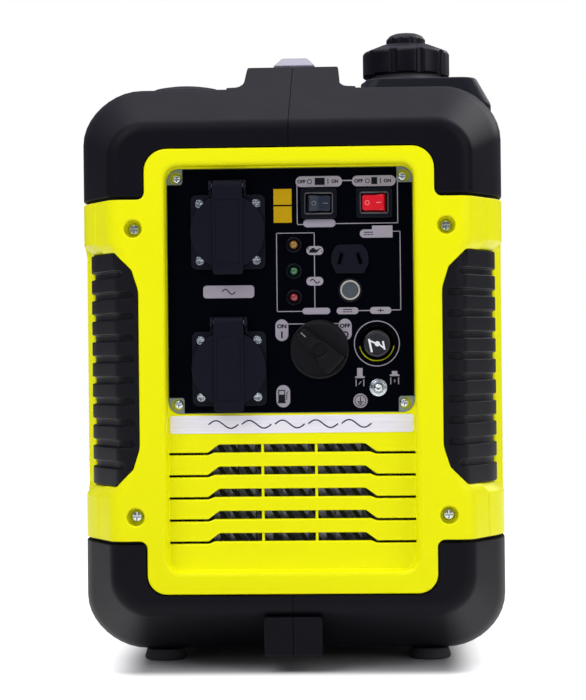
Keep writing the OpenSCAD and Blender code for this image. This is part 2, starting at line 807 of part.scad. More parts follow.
module name_strip() color([0.85, 0.85, 0.9]) prism_y(recess_y - 0.6, recess_y)
  rounded([-rim_x + 1.2, rim_x - 1.2], [strip_z0, strip_z0 + strip_h], 2);

module intake_grille() color([0.04, 0.04, 0.05])
  prism_y(recess_y + floor_t + back_gap, recess_y + floor_t + 4) {
    x = rim_x - 3.6;
    z = [rim_z0 + 3, strip_z0 + 1];
    difference() {
      rounded([-x, x], z, 6);
      rounded([-x + 4, x - 4], [z[0] + 4, z[1] - 4], 3);
    }
    intersection() {
      rounded([-x + 2, x - 2], [z[0] + 2, z[1] - 2], 4);
      for (i = [-12:12]) translate([i * 9, (z[0] + z[1]) / 2]) rotate(32) translate([-1.4, -80]) square([2.8, 160]);
    }
  }

// Mains socket, drawn about its own centre height
module socket_body(z) color([0.1, 0.11, 0.16]) {
  at = [socket_x, z];
  axis_z = z + lid_axis_up;
  flange_y = face_y - flange_t;
  difference() {
    union() {
      prism_y(flange_y, face_y) rounded_at(at, [socket_w, socket_w], 4);
      rod_y(at, barrel_d, face_y - 1, face_y + barrel_len);
      for (side = [-1, 1]) {
        x = socket_x + side * (strap_w / 2 + slide_gap + ear_w / 2);
        block([x - ear_w / 2, x + ear_w / 2], [lid_axis_y, face_y - back_gap],
              [z + socket_w / 2 - 1.5, axis_z + knuckle_d / 2]);
        rod_x([lid_axis_y, axis_z], knuckle_d, x - ear_w / 2, x + ear_w / 2);
      }
    }
    rod_y(at, cup_d, flange_y - 1, flange_y + cup_depth);
    for (dx = [-1, 1]) {
      pole = [socket_x + dx * pole_pitch / 2, z];
      rod_y(pole, pin_hole_d, flange_y, cup_floor_y + 4);
      rod_y(pole, contact_d + 0.2, cup_floor_y + 3, face_y + barrel_len - 4);
    }
    for (dx = [-1, 1], dz = [-1, 1])
      socket_screw_space([socket_x + dx * socket_screw_pitch / 2, z + dz * socket_screw_pitch / 2], 0.2);
    rod_x([lid_axis_y, axis_z], lid_pin_d, socket_x - 20, socket_x + 20);
  }
}

module socket_screw_space(at, gap)
  turned_y(at, face_y) polygon([
    [0, -8], [1.5 + gap / 2, -8], [1.5 + gap / 2, 1.6], [2.9 + gap / 2, 3], [2.9 + gap / 2, flange_t + gap],
    [0, flange_t + gap]]);

module socket_lid(z) color([0.09, 0.1, 0.15]) difference() {
  axis_z = z + lid_axis_up;
  lid_y = face_y - flange_t - slide_gap;
  union() {
    rod_y([socket_x, z], lid_d, lid_y - lid_t, lid_y);
    rod_y([socket_x, z], cup_d - 1.6, lid_y, lid_y + 1.2);
    prism_y(lid_y - lid_t - strap_t, lid_y - lid_t)
      rounded([socket_x - strap_w / 2, socket_x + strap_w / 2], [z - lid_d / 2 - 3.6, axis_z], 2);
    prism_y(lid_y - lid_t - 0.5, lid_y - 1.5)
      rounded([socket_x - strap_w / 2, socket_x + strap_w / 2], [z - lid_d / 2 - 3.6, z], 2);
    block([socket_x - strap_w / 2, socket_x + strap_w / 2], [lid_y - lid_t - strap_t, lid_y - 1],
          [z + lid_d / 2 - 4, axis_z]);
    rod_x([lid_axis_y, axis_z], knuckle_d, socket_x - strap_w / 2, socket_x + strap_w / 2);
  }
  rod_x([lid_axis_y, axis_z], lid_pin_d + 2 * run_gap, socket_x - 20, socket_x + 20);
}

module socket_upper_body() socket_body(sockets_z[1]);
module socket_lower_body() socket_body(sockets_z[0]);
module socket_upper_lid() socket_lid(sockets_z[1]);
module socket_lower_lid() socket_lid(sockets_z[0]);

module socket_lid_pins() color("silver") for (z = sockets_z) {
  reach = strap_w / 2 + slide_gap + ear_w;
  rod_x([lid_axis_y, z + lid_axis_up], lid_pin_d, socket_x - reach, socket_x + reach);
}

module socket_contacts() color("gold") for (z = sockets_z) {
  for (dx = [-1, 1]) difference() {
    rod_y([socket_x + dx * pole_pitch / 2, z], contact_d, cup_floor_y + 3.2, face_y + barrel_len - 4);
    rod_y([socket_x + dx * pole_pitch / 2, z], pin_hole_d - 0.3, cup_floor_y, face_y + barrel_len - 8);
  }
  for (dz = [-1, 1]) {
    tip = z + dz * (cup_d / 2 - 3);
    root = z + dz * (cup_d / 2 - 0.8);
    block([socket_x - 3, socket_x + 3], [cup_floor_y - 12, cup_floor_y], [min(tip, root), max(tip, root)]);
  }
}

// Rocker switches
module switch_body(at) color([0.05, 0.06, 0.1]) difference() {
  union() {
    prism_y(face_y - bezel_t, face_y) rounded_at(at, bezel, 2);
    prism_y(face_y - 1, face_y + 18) rounded_at(at, [bezel[0] - 2.4, bezel[1] - 2.4], 1);
  }
  prism_y(face_y - bezel_t - 1, face_y + 8) rounded_at(at, switch_pocket, 1);
  rod_z([at[0], rocker_axis_y], rocker_pin_d + 2 * run_gap, at[1] - 8, at[1] + 8);
}

module rocker(at, tilt) translate([at[0], rocker_axis_y, at[1]]) rotate([0, 0, tilt]) {
  face = face_y - rocker_axis_y;
  half_h = switch_pocket[1] / 2 - slide_gap;
  translate([0, 0, -half_h]) linear_extrude(2 * half_h) polygon([
    [-rocker_half, face - 3.6], [0, face - 2.4], [rocker_half, face - 3.6],
    [rocker_half, face + 1], [rocker_half - 3, 3.4], [3 - rocker_half, 3.4], [-rocker_half, face + 1]]);
  translate([0, 0, -half_h - 1.2]) cylinder(d = rocker_pin_d, h = 2 * half_h + 2.4);
}

module econ_switch_body() switch_body(switches[0]);
module engine_switch_body() switch_body(switches[1]);
module econ_rocker() color([0.08, 0.09, 0.12]) rocker(switches[0], rocker_tilt);
module engine_rocker() color([0.8, 0.08, 0.14]) rocker(switches[1], -rocker_tilt);

// Lamps, direct-current outlet and its breaker
module lamp(z) turned_y([lamp_x, z], face_y) {
  r = lamp_d / 2;
  polygon([
    [0, -9], [r - 1.4, -9], [r - 1.4, 0], [r, 0], [r, 1.2], [r - 1, 2.2], [r - 1.9, 2.2], [r - 1.9, 1.6],
    [r - 3, 3], [r - 4.2, 3.6], [0, 3.8]]);
}
module oil_lamp() color("orange") lamp(lamps_z[0]);
module output_lamp() color("green") lamp(lamps_z[1]);
module overload_lamp() color("darkred") lamp(lamps_z[2]);

module dc_outline(grow = 0) {
  w = dc_size[0] / 2 + grow;
  h = dc_size[1] / 2 + grow;
  translate(dc_at) union() {
    intersection() {
      circle(w);
      square([2 * w, 2 * h], center = true);
    }
    polygon([[-0.75 * w, -h], [0.75 * w, -h], [0.96 * w, -0.35 * h], [-0.96 * w, -0.35 * h]]);
  }
}

module dc_socket() color([0.05, 0.06, 0.1]) difference() {
  union() {
    prism_y(face_y - 3, face_y) dc_outline();
    prism_y(face_y - 1, face_y + 22) rounded_at(dc_at, [dc_size[0] - 3, dc_size[1] - 3], dc_corner);
  }
  for (sx = [-1, 1]) translate([dc_at[0] + sx * dc_slot[0], 0, dc_at[1]]) rotate([0, -sx * dc_slot_lean, 0])
    block([-dc_slot[1] / 2, dc_slot[1] / 2], [face_y - 4, face_y + 14], [-dc_slot[2] / 2, dc_slot[2] / 2]);
}

module breaker_body() color([0.06, 0.06, 0.08]) difference() {
  union() {
    rod_y(breaker_at, breaker_d, face_y - 2.4, face_y);
    rod_y(breaker_at, breaker_d - 1, face_y - 1, face_y + 24);
  }
  rod_y(breaker_at, button_d + 2 * run_gap, face_y - 4, face_y + 9 + button_travel);
}

module breaker_button() color([0.1, 0.1, 0.12]) turned_y(breaker_at, face_y) {
  r = button_d / 2;
  polygon([[0, -9], [r, -9], [r, 3.2], [r - 0.8, 4], [r - 2.5, 4], [r - 3.3, 3.4], [0, 3.4]]);
}

// Fuel and engine knob on the spindle of its valve
module fuel_knob() color([0.09, 0.1, 0.14]) difference() {
  r = knob_d / 2;
  base = face_y - slide_gap - 0.4;
  grip_y = front + 0.7;
  union() {
    turned_y(knob_at, base) polygon([[0, 0], [r, 0], [r, 2.6], [r - 1.2, 4.2], [r - 4, 4.8], [0, 4.8]]);
    translate([knob_at[0], 0, knob_at[1]]) rotate([0, 45, 0]) prism_y(grip_y, base - 2) intersection() {
      circle(r - 0.8);
      polygon([[-r, -knob_bar_w[0] / 2], [r, -knob_bar_w[1] / 2], [r, knob_bar_w[1] / 2], [-r, knob_bar_w[0] / 2]]);
    }
    turned_y(knob_at, base) polygon([[0, 0], [8.4, 0], [8.4, base - grip_y - 0.6], [7.8, base - grip_y], [0, base - grip_y]]);
  }
  rod_y(knob_at, 10.2, grip_y - 1, grip_y + 2);
  rod_y(knob_at, spindle_d + 2 * run_gap, grip_y + 3, face_y + 1);
}

module fuel_valve() color("silver") {
  rod_y(knob_at, spindle_d, front + 4, face_y + 10);
  difference() {
    prism_y(plate_y + panel_t, plate_y + panel_t + 20) rounded_at(knob_at, [34, 26], 5);
    for (dx = [-1, 1]) rod_y([knob_at[0] + dx * 13, knob_at[1]], 3.2, plate_y, plate_y + 30);
  }
}

module choke_knob() color([0.1, 0.11, 0.15]) {
  turned_y(choke_at, face_y) {
    r = choke_d / 2;
    polygon([[0, -13], [r, -13], [r, 3.4], [r - 1.2, 4.6], [0, 4.6]]);
  }
  rod_y(choke_at, choke_rod_d, face_y + 12, face_y + 28 + choke_travel);
}

module ground_terminal() color("silver") {
  rod_y(ground_at, ground_stud_d, face_y - 8.6, plate_y + 14);
  difference() {
    prism_y(face_y - 4.8, face_y - 0.8) translate(ground_at) circle(d = 10.2, $fn = 6);
    rod_y(ground_at, ground_stud_d - 0.4, face_y - 6, face_y);
  }
  difference() {
    union() {
      rod_y(ground_at, 12.4, face_y - 1, face_y);
      prism_y(plate_y + panel_t, plate_y + panel_t + 4) translate(ground_at) circle(d = 11.2, $fn = 6);
    }
    rod_y(ground_at, ground_stud_d - 0.4, face_y - 6, plate_y + 10);
  }
}

// Fasteners: cross-head screws along y
module cross_screw(at, y, shank, head, length) difference() {
  union() {
    turned_y(at, y) polygon([
      [0, -length], [shank / 2, -length], [shank / 2, 0], [head / 2, 0], [head / 2, 1.1],
      [head / 2 - 1, 2.2], [0, 2.5]]);
  }
  translate([at[0], y - 2.6, at[1]]) for (a = [0, 90]) rotate([0, a, 0])
    block([-head / 3.4, head / 3.4], [0, 1.5], [-0.45, 0.45]);
}

module panel_screws() color("silver") {
  for (s = panel_screws_at) cross_screw(s, plate_y - back_gap, 2.9, 6.4, 8);
  for (z = sockets_z, dx = [-1, 1], dz = [-1, 1]) {
    at = [socket_x + dx * socket_screw_pitch / 2, z + dz * socket_screw_pitch / 2];
    difference() {
      socket_screw_space(at, -0.1);
      translate([at[0], face_y - flange_t - 0.2, at[1]]) for (a = [0, 90]) rotate([0, a, 0])
        block([-2, 2], [0, 1.5], [-0.4, 0.4]);
    }
  }
}

module case_screws() color("silver") {
  for (end = [0, 1], s = frame_screws) mirror([0, end, 0])
    cross_screw(s, front + well_depth - 0.1, screw_d, screw_head_d, boss_len + post_len - well_depth);
  for (end = [0, 1]) mirror([0, end, 0]) cross_screw([9, foot_h + 12], front + 3.4, 2.8, 5, 2.5);
  for (s = side_screws)
    translate([half_w - side_screw_sink, s[0], s[1]]) rotate([0, 0, 90]) cross_screw([0, 0], 0, screw_d, 8, 5);
}

module feet() color([0.03, 0.03, 0.03]) for (f = feet_at) translate([f[0], f[1], 0]) {
  rotate_extrude() polygon([
    [0, 0], [foot_d / 2 - 1, 0], [foot_d / 2, 1.5], [foot_d / 2 - 2, foot_h - back_gap],
    [5, foot_h - back_gap], [5, floor_z + 3], [0, floor_z + 3]]);
}

// Engine
module leaned() translate([0, crank_y, crank_z]) rotate([lean, 0, 0]) children();

module crankcase() color([0.6, 0.6, 0.62]) difference() {
  union() {
    rod_x([crank_y, crank_z], 2 * case_r, case_x[0], case_x[1]);
    block(case_x, [crank_y - 55, crank_y + 60], [foot_plate_z, crank_z - 30]);
    leaned() block(case_x, [-fin_half, fin_half], [0, deck_d]);
    block(case_x, foot_plate_y, [foot_plate_z, foot_plate_z + 6]);
  }
  rod_x([crank_y, crank_z], 2 * (case_r - case_t), case_x[0] + case_t, case_x[1] - case_t);
  leaned() rod_z([0, 0], cyl_d - 4, 20, deck_d + 1);
  rod_x([crank_y, crank_z], crank_d + 2 * run_gap, case_x[0] - 1, case_x[1] + 1);
  for (m = mounts_at) rod_z(m, 8.4, foot_plate_z - 1, foot_plate_z + 7);
}

module engine_mounts() color([0.05, 0.05, 0.05]) for (m = mounts_at) {
  rod_z(m, mount_d, floor_z, foot_plate_z);
  rod_z(m, 8, foot_plate_z - 1, foot_plate_z + 16);
}

module cylinder_fins() for (d = [deck_d + 0.2 : fin_pitch : head_d[1] - fin_t])
  block(case_x, [-fin_half, fin_half], [d, d + fin_t]);

module cylinder_barrel() color([0.55, 0.55, 0.57]) {
  leaned() difference() {
    union() {
      cylinder_fins();
      rod_z([0, 0], cyl_d + 14, deck_d + 0.2, head_d[0]);
      block([case_x[0] + 6, case_x[1] - 6], [-fin_half + 8, fin_half - 8], head_d);
      rod_x([0, port_d], pipe_d + 12, case_x[0], case_x[1]);
    }
    rod_z([0, 0], cyl_d - 4, deck_d - 1, head_d[0] - 4);
    rod_x([0, port_d], pipe_d - 4, case_x[0] - 1, case_x[0] + 20);
    rod_x([0, port_d], pipe_d - 4, case_x[1] - 20, case_x[1] + 1);
    rod_z([-28, 0], 10.4, head_d[1] - 22, head_d[1] + 1);
  }
}

module spark_plug() color([0.9, 0.9, 0.88]) leaned() translate([-28, 0, head_d[1] - 20]) {
  cylinder(d = 10, h = 20);
  translate([0, 0, 20]) cylinder(d = 16, h = 5, $fn = 6);
  translate([0, 0, 25]) cylinder(d1 = 11, d2 = 8, h = 12);
  translate([0, 0, 37]) cylinder(d = 5, h = 5);
}

module crankshaft() color("silver") {
  pin_throw = 22;
  web = [[-18, -6], [10, 22]];
  rod_x([crank_y, crank_z], crank_d, fan_x + 2, web[0][0]);
  rod_x([crank_y, crank_z], crank_d, web[1][1], case_x[1] + 12);
  for (w = web) prism_x(w[0], w[1]) translate([crank_y, crank_z]) difference() {
    circle(case_r - case_t - 8);
    translate([0, 62]) square([130, 70], center = true);
    translate([-60, 14]) square([40, 80]);
    translate([20, 14]) square([40, 80]);
  }
  for (w = web) prism_x(w[0], w[1]) translate([crank_y, crank_z + pin_throw]) circle(16);
  rod_x([crank_y, crank_z + pin_throw], 22, web[0][1], web[1][0]);
}

module alternator_rotor() color([0.35, 0.36, 0.38]) difference() {
  union() {
    rod_x([crank_y, crank_z], rotor_d, rotor_x[0], rotor_x[1]);
    around_x([crank_y, crank_z], 16)
      block([fan_x, rotor_x[0] + 1], [-1.2, 1.2], [rotor_d / 2 - 34, rotor_d / 2 - 2]);
    rod_x([crank_y, crank_z], 44, fan_x + 4, rotor_x[0] + 1);
  }
  rod_x([crank_y, crank_z], rotor_d - 2 * rotor_rim, rotor_x[0] + 8, rotor_x[1] + 1);
  rod_x([crank_y, crank_z], crank_d + 2 * run_gap, fan_x, rotor_x[1]);
}

module stator() color([0.6, 0.32, 0.14]) {
  hub_d = 68;
  difference() {
    union() {
      rod_x([crank_y, crank_z], hub_d + 18, rotor_x[0] + 14, rotor_x[1] + 2);
      rod_x([crank_y, crank_z], hub_d, rotor_x[0] + 14, case_x[0]);
      around_x([crank_y, crank_z], 12) {
        block([rotor_x[0] + 16, rotor_x[1]], [-5, 5], [hub_d / 2, stator_d / 2 - 4]);
        block([rotor_x[0] + 14, rotor_x[1] + 2], [-8, 8], [hub_d / 2 + 10, stator_d / 2 - 5]);
      }
    }
    rod_x([crank_y, crank_z], crank_d + 14, rotor_x[0], case_x[0] + 1);
  }
}

// Recoil starter: housing over the fan and alternator, reel, rope and grip
module recoil_housing() color([0.12, 0.12, 0.13]) {
  at = [crank_y, crank_z];
  difference() {
    union() {
      rod_x(at, shroud_d + 2 * shroud_t, shroud_x[0], shroud_x[1] + 2.8);
      block(starter_arm_x, [crank_y, grip_at[0] + 8], [crank_z + 64, crank_z + 100]);
      block(starter_arm_x, [grip_at[0] - 8, grip_at[0] + 8], [crank_z + 60, grip_at[1] + 8]);
    }
    rod_x(at, shroud_d, shroud_x[0] + shroud_t, shroud_x[1]);
    rod_x(at, 2 * case_r - 30, shroud_x[1] - 1, shroud_x[1] + 3);
    around_x(at, 10) prism_x(shroud_x[0] - 1, shroud_x[0] + shroud_t + 1)
      rounded([-6, 6], [reel_d / 2 - 30, shroud_d / 2 - 8], 5);
    rod_x(grip_at, rope_d + 0.8, min(shroud_x[0], starter_arm_x[0] - 1), shroud_x[1]);
  }
  rod_x(at, reel_post_d, shroud_x[0] + 1, reel_x[1] + 0.5);
}

module recoil_reel() color([0.85, 0.85, 0.82]) difference() {
  at = [crank_y, crank_z];
  rod_x(at, reel_d, reel_x[0], reel_x[1]);
  difference() {
    rod_x(at, reel_d + 1, reel_x[0] + 2.5, reel_x[1] - 2.5);
    rod_x(at, reel_d - 18, reel_x[0], reel_x[1]);
  }
  rod_x(at, reel_post_d + 2 * run_gap, reel_x[0] - 1, reel_x[1] + 1);
}

module recoil_grip() color([0.06, 0.06, 0.07]) {
  x0 = -half_w + 0.8;
  x1 = x0 + grip_size[2];
  difference() {
    prism_x(x0, x1) rounded_at(grip_at, [grip_size[0], grip_size[1]], 10);
    for (dy = [-1, 1], dz = [-1, 1])
      rod_x([grip_at[0] + dy * 21, grip_at[1] + dz * (grip_size[1] / 2 + 4)], 13, x0 + 4, x1 + 1);
    rod_x(grip_at, 9, x0 - 1, x0 + 2);
  }
  rod_x(grip_at, rope_d, x1 - 1, x1 + rope_l);
}

// Muffler with its pipe and outlet
module muffler() color([0.5, 0.5, 0.5]) {
  wall_t = 2;
  bracket_y = crank_y + sqrt(case_r * case_r - 24 * 24) + back_gap;
  difference() {
    prism_y(muffler_y[0], muffler_y[1]) rounded(muffler_x, muffler_z, 18);
    prism_y(muffler_y[0] + wall_t, muffler_y[1] - wall_t)
      rounded([muffler_x[0] + wall_t, muffler_x[1] - wall_t],
              [muffler_z[0] + wall_t, muffler_z[1] - wall_t], 18 - wall_t);
    rod_y(outlet_at, outlet_bore_d, muffler_y[1] - wall_t - 1, muffler_y[1] + 1);
  }
  difference() {
    rod_y(outlet_at, outlet_d, muffler_y[1] - 1, muffler_y[1] + outlet_len);
    rod_y(outlet_at, outlet_bore_d, muffler_y[1] - 2, muffler_y[1] + outlet_len + 1);
  }
  rod_x([port_y, port_z], pipe_d, case_x[1] + back_gap, pipe_x - pipe_d / 2);
  elbow = pipe_d / 2 + 2;
  block([pipe_x - elbow, pipe_x + elbow], [port_y - elbow, port_y + elbow], [port_z - elbow, port_z + elbow]);
  rod_y([pipe_x, port_z], pipe_d, port_y + elbow - 1, muffler_y[0] + 1);
  block([case_x[0] + 20, case_x[1] - 20], [bracket_y, muffler_y[0] + 1], [crank_z + 24, crank_z + 27]);
}

module rear_panel() color([0.08, 0.08, 0.1]) mirror([0, 1, 0]) difference() {
  union() {
    prism_y(recess_y + floor_t + back_gap, recess_y + floor_t + 3) offset_rim(1.5);
    prism_y(recess_y, recess_y + floor_t + 1) offset_rim(-6.4);
  }
  for (i = [0:8]) prism_y(recess_y - 1, recess_y + floor_t + 4)
    rounded([-rim_x + 16, rim_x - 16], [rim_z1 - 92 + i * 9, rim_z1 - 88 + i * 9], 1.9);
  for (i = [0:2]) prism_y(recess_y - 1, recess_y + floor_t + 4)
    rounded([-rim_x + 16, rim_x - 16], [rim_z0 + 18 + i * 9, rim_z0 + 22 + i * 9], 1.9);
  rod_y(outlet_at, outlet_d + 12, recess_y - 1, recess_y + floor_t + 4);
}

// Fuel system beside the engine
module carburettor() color([0.62, 0.62, 0.64]) difference() {
  x0 = case_x[0] - 32;
  union() {
    rod_x([port_y, port_z], 32, x0, case_x[0] - back_gap);
    rod_z([x0 + 16, port_y], 28, port_z - 38, port_z);
    block([x0, x0 + 5], [port_y - 22, port_y + 22], [port_z - 18, port_z + 18]);
    block([case_x[0] - 5.2, case_x[0] - back_gap], [port_y - 22, port_y + 22], [port_z - 18, port_z + 18]);
  }
  rod_x([port_y, port_z], pipe_d, x0 - 1, case_x[0] + 1);
}

module air_filter_box() color([0.1, 0.1, 0.12]) difference() {
  x = [case_x[0] - 84, case_x[0] - 32 - back_gap];
  z = [port_z - 28, port_z + 46];
  y = [port_y - 20, port_y + 76];
  t = 2.5;
  prism_z(z[0], z[1]) rounded(x, y, 8);
  prism_z(z[0] + t, z[1] - t) rounded([x[0] + t, x[1] - t], [y[0] + t, y[1] - t], 8 - t);
  rod_x([port_y, port_z], pipe_d, x[1] - 4, x[1] + 1);
}

module inverter_module() color([0.55, 0.56, 0.58]) {
  x = rim_x - 6;
  y = [plate_y + 12, plate_y + 62];
  z = [rim_z0 - 2, strip_z0 - 4];
  difference() {
    block([-x, x], y, z);
    block([-x + 3, x - 3], [y[0] + 12, y[1] - 3], [z[0] + 3, z[1] - 3]);
    for (i = [0:12]) block([-x + 4 + i * 12, -x + 10 + i * 12], [y[0] - 1, y[0] + 9], [z[0] - 1, z[1] + 1]);
  }
  for (sx = [-1, 1]) block(sx > 0 ? [x - 8, x] : [-x, 8 - x], [y[1] - 12, y[1]], [floor_z, z[0]]);
}

left_shell();
right_shell();
front_frame();
rear_frame();
left_side_panel();
right_side_panel();
grip_front_left();
grip_front_right();
grip_rear_left();
grip_rear_right();
handle_grip();
fuel_deck();
spark_plug_cover();
fuel_tank();
filler_neck();
fuel_cap();
fuel_cap_seal();
vent_knob();
panel_plate();
panel_overlay();
name_strip();
intake_grille();
socket_upper_body();
socket_upper_lid();
socket_lower_body();
socket_lower_lid();
socket_contacts();
socket_lid_pins();
econ_switch_body();
econ_rocker();
engine_switch_body();
engine_rocker();
oil_lamp();
output_lamp();
overload_lamp();
dc_socket();
breaker_body();
breaker_button();
fuel_knob();
fuel_valve();
choke_knob();
ground_terminal();
panel_screws();
case_screws();
feet();
engine_mounts();
crankcase();
cylinder_barrel();  // cylinder
spark_plug();
crankshaft();
alternator_rotor();
stator();
recoil_housing();
recoil_reel();
recoil_grip();
muffler();
rear_panel();
carburettor();
air_filter_box();
inverter_module();
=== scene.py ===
"""Looks of a suitcase generator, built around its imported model, and the studio that it stands in."""

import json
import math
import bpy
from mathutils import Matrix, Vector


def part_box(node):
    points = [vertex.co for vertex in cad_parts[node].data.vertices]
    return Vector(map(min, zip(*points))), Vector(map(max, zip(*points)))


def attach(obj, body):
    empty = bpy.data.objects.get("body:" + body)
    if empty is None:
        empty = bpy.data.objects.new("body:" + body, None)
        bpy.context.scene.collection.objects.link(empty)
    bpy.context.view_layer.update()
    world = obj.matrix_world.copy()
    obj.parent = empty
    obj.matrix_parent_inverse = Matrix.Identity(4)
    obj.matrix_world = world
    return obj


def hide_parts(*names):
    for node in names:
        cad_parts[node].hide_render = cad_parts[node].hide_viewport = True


bl_info = {
    "name": "Portable Generator",
    "version": (1, 0, 0),
    "blender": (4, 5, 0),
    "location": "View3D > Sidebar > Generator",
    "description": "Builds the looks of a portable generator and its studio around the packed model",
    "category": "Object",
}

import bmesh
import bpy
from mathutils import Matrix, Vector

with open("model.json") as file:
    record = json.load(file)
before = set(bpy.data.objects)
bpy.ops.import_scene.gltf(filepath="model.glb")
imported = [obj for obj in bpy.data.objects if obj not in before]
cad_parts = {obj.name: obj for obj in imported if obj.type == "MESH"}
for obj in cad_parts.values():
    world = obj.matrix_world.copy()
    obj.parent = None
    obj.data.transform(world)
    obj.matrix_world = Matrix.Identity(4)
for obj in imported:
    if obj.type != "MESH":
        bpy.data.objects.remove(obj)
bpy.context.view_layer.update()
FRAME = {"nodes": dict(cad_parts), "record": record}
NODES = FRAME["nodes"]

MM = 0.001


# ---------------------------------------------------------------- measures, in millimetres


def corner(node, which):
    """Lowest (0) or highest (1) corner of a node, to a tenth of a millimetre."""
    return [round(value / MM, 1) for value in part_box(node)[which]]


def middle(node, *axes):
    """Middle of a node along some of the axes, to a tenth of a millimetre."""
    low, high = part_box(node)
    return tuple(round((low[axis] + high[axis]) / 2 / MM, 1) for axis in axes)


def around(value, half):
    """Span with a value in its middle."""
    return value - half, value + half


def grown(span, by):
    """Span that is longer by the same at each end."""
    return span[0] - by, span[1] + by


# The casing: half its width and length, its heights, and where the bevels at its ends run.
HALF_W, HALF_L = corner("right_shell", 1)[:2]
FRONT = -HALF_L
GROUND_GAP = corner("right_shell", 0)[2]
TOP = 400.0
ZONE_X = 120.0
ZONE_Z = (41.0, 369.0)
SIDE_RUN = 44.0
TOP_RUN = 60.0
BODY_R = 40.0
ZONE_R = 24.0
WALL = 3.0
# The waist between the corner grips: its depth, the heights and the lengths over which it fades.
WAIST = 4.5
WAIST_Z = (118.8, 125.3, 282.9, 289.4)
WAIST_Y = (-190.0, -181.0)
UPRIGHT_Z = (90.0, 104.0, *WAIST_Z[:2], 164.0, 204.0, 244.0, *WAIST_Z[2:], 305.0, 320.0)
# The yellow covers: heights of the belt, its thickness, and the joint between front and side covers.
BELT = (corner("left_side_panel", 0)[2], corner("left_side_panel", 1)[2])
BELT_T = 4.0
BELT_GAP = 2.0
SEAM_Y = 227.0
# The raised ring of the front cover, and the recess inside its rim.
RING_X = 97.0
RING_Z = (corner("front_frame", 0)[2], corner("front_frame", 1)[2])
RING_R = (13.0, 15.0)
RIM_X = 83.4
RIM_Z = (68.4, 340.2)
RIM_R = 9.0
LIP = 4.0
RECESS_Y = corner("panel_plate", 0)[1]
FACE_Y = corner("panel_overlay", 0)[1]
SLAT_Z = RIM_Z[0] + 18.6
SLAT_PITCH = 14.95
# Screws: (x, z) on the front cover's ring and on the recessed plate, (y, z) on the right-hand cover.
FRAME_SCREWS = [(sx * 104.8, z) for sx in (-1, 1) for z in (105.3, 298.6)]
PLATE_SCREWS = [(x, z) for x in (-75.9, 75.9) for z in (180.3, 332.2)]
SIDE_SCREWS = [(y, z) for y in (-150, 168) for z in (107, 300)]
# The top: the well under the handle, the filler and the service cover, seen from above.
WELL_X = (-48, 36)
WELL_Y = (-118, 118)
WELL_R = 14
WELL_FLOOR = 366
FILLER_AT = middle("fuel_cap", 0, 1)
SERVICE_AT = middle("spark_plug_cover", 0, 1)
STARTER_AT = middle("recoil_grip", 1, 2)
CHOKE_AT = middle("choke_knob", 0, 2)
# Spans and depths that reach past the whole casing, for tools that cut or keep a part of it.
ALL_X = (-150, 150)
ALL_Y = (-252, 252)
AHEAD = -251


# ---------------------------------------------------------------- modelling helpers


def clear_selection():
    """Leaves edit mode and deselects everything."""
    if bpy.context.object and bpy.context.object.mode != "OBJECT":
        bpy.ops.object.mode_set(mode="OBJECT")
    bpy.ops.object.select_all(action="DESELECT")


def activate(piece):
    """Makes a piece the only one selected, and the active one."""
    clear_selection()
    piece.select_set(True)
    bpy.context.view_layer.objects.active = piece


def named(name):
    """Names the piece that was just made."""
    piece = bpy.context.object
    piece.name = piece.data.name = name
    return piece


def settle(piece):
    """Puts the piece's place into its mesh, so that its object stands at the origin."""
    activate(piece)
    bpy.ops.object.transform_apply(location=True, rotation=True, scale=True)
    return piece


def face_outwards(piece):
    """Turns the faces of a closed piece away from its inside."""
    activate(piece)
    bpy.ops.object.mode_set(mode="EDIT")
    bpy.ops.mesh.select_all(action="SELECT")
    bpy.ops.mesh.normals_make_consistent(inside=False)
    if bmesh.from_edit_mesh(piece.data).calc_volume(signed=True) < 0:
        bpy.ops.mesh.flip_normals()
    bpy.ops.object.mode_set(mode="OBJECT")


def loft(name, rings):
    """Closed solid through outlines in millimetres: a filled circle, extruded from ring to ring."""
    clear_selection()
    bpy.ops.mesh.primitive_circle_add(vertices=len(rings[0]), fill_type="NGON")
    piece = named(name)
    bpy.ops.object.mode_set(mode="EDIT")
    mesh = bmesh.from_edit_mesh(piece.data)
    order = mesh.verts.layers.int.new("order")
    face = next(iter(mesh.faces))
    for i, loop in enumerate(face.loops):
        loop.vert[order] = i
    for k, ring in enumerate(rings):
        if k:
            bpy.ops.mesh.extrude_region_move()
            mesh = bmesh.from_edit_mesh(piece.data)
            order = mesh.verts.layers.int["order"]
        for vert in mesh.verts:
            if vert.select:
                vert.co = Vector(ring[vert[order]]) * MM
        bmesh.update_edit_mesh(piece.data)
    mesh.verts.layers.int.remove(order)
    bmesh.update_edit_mesh(piece.data)
    bpy.ops.object.mode_set(mode="OBJECT")
    face_outwards(piece)
    return piece


def along(axis, u, v, w):
    """Point from a drawing's two coordinates and its distance along the axis."""
    return {"x": (w, u, v), "y": (u, w, v), "z": (u, v, w)}[axis]


def prism(name, axis, outline, low, high):
    """Closed solid with one outline between two distances along an axis."""
    return loft(name, [[along(axis, u, v, w) for u, v in outline] for w in (low, high)])


def slab(name, x, y, z):
    """Box between three spans."""
    clear_selection()
    bpy.ops.mesh.primitive_cube_add(size=1)
    piece = named(name)
    piece.scale = [(s[1] - s[0]) * MM for s in (x, y, z)]
    piece.location = [(s[1] + s[0]) / 2 * MM for s in (x, y, z)]
    return settle(piece)


def arc(cu, cv, r, start, end, steps):
    """Points of an arc from one angle to another, in degrees."""
    return [
        (cu + r * math.cos(math.radians(a)), cv + r * math.sin(math.radians(a)))
        for a in (start + (end - start) * i / steps for i in range(steps + 1))
    ]


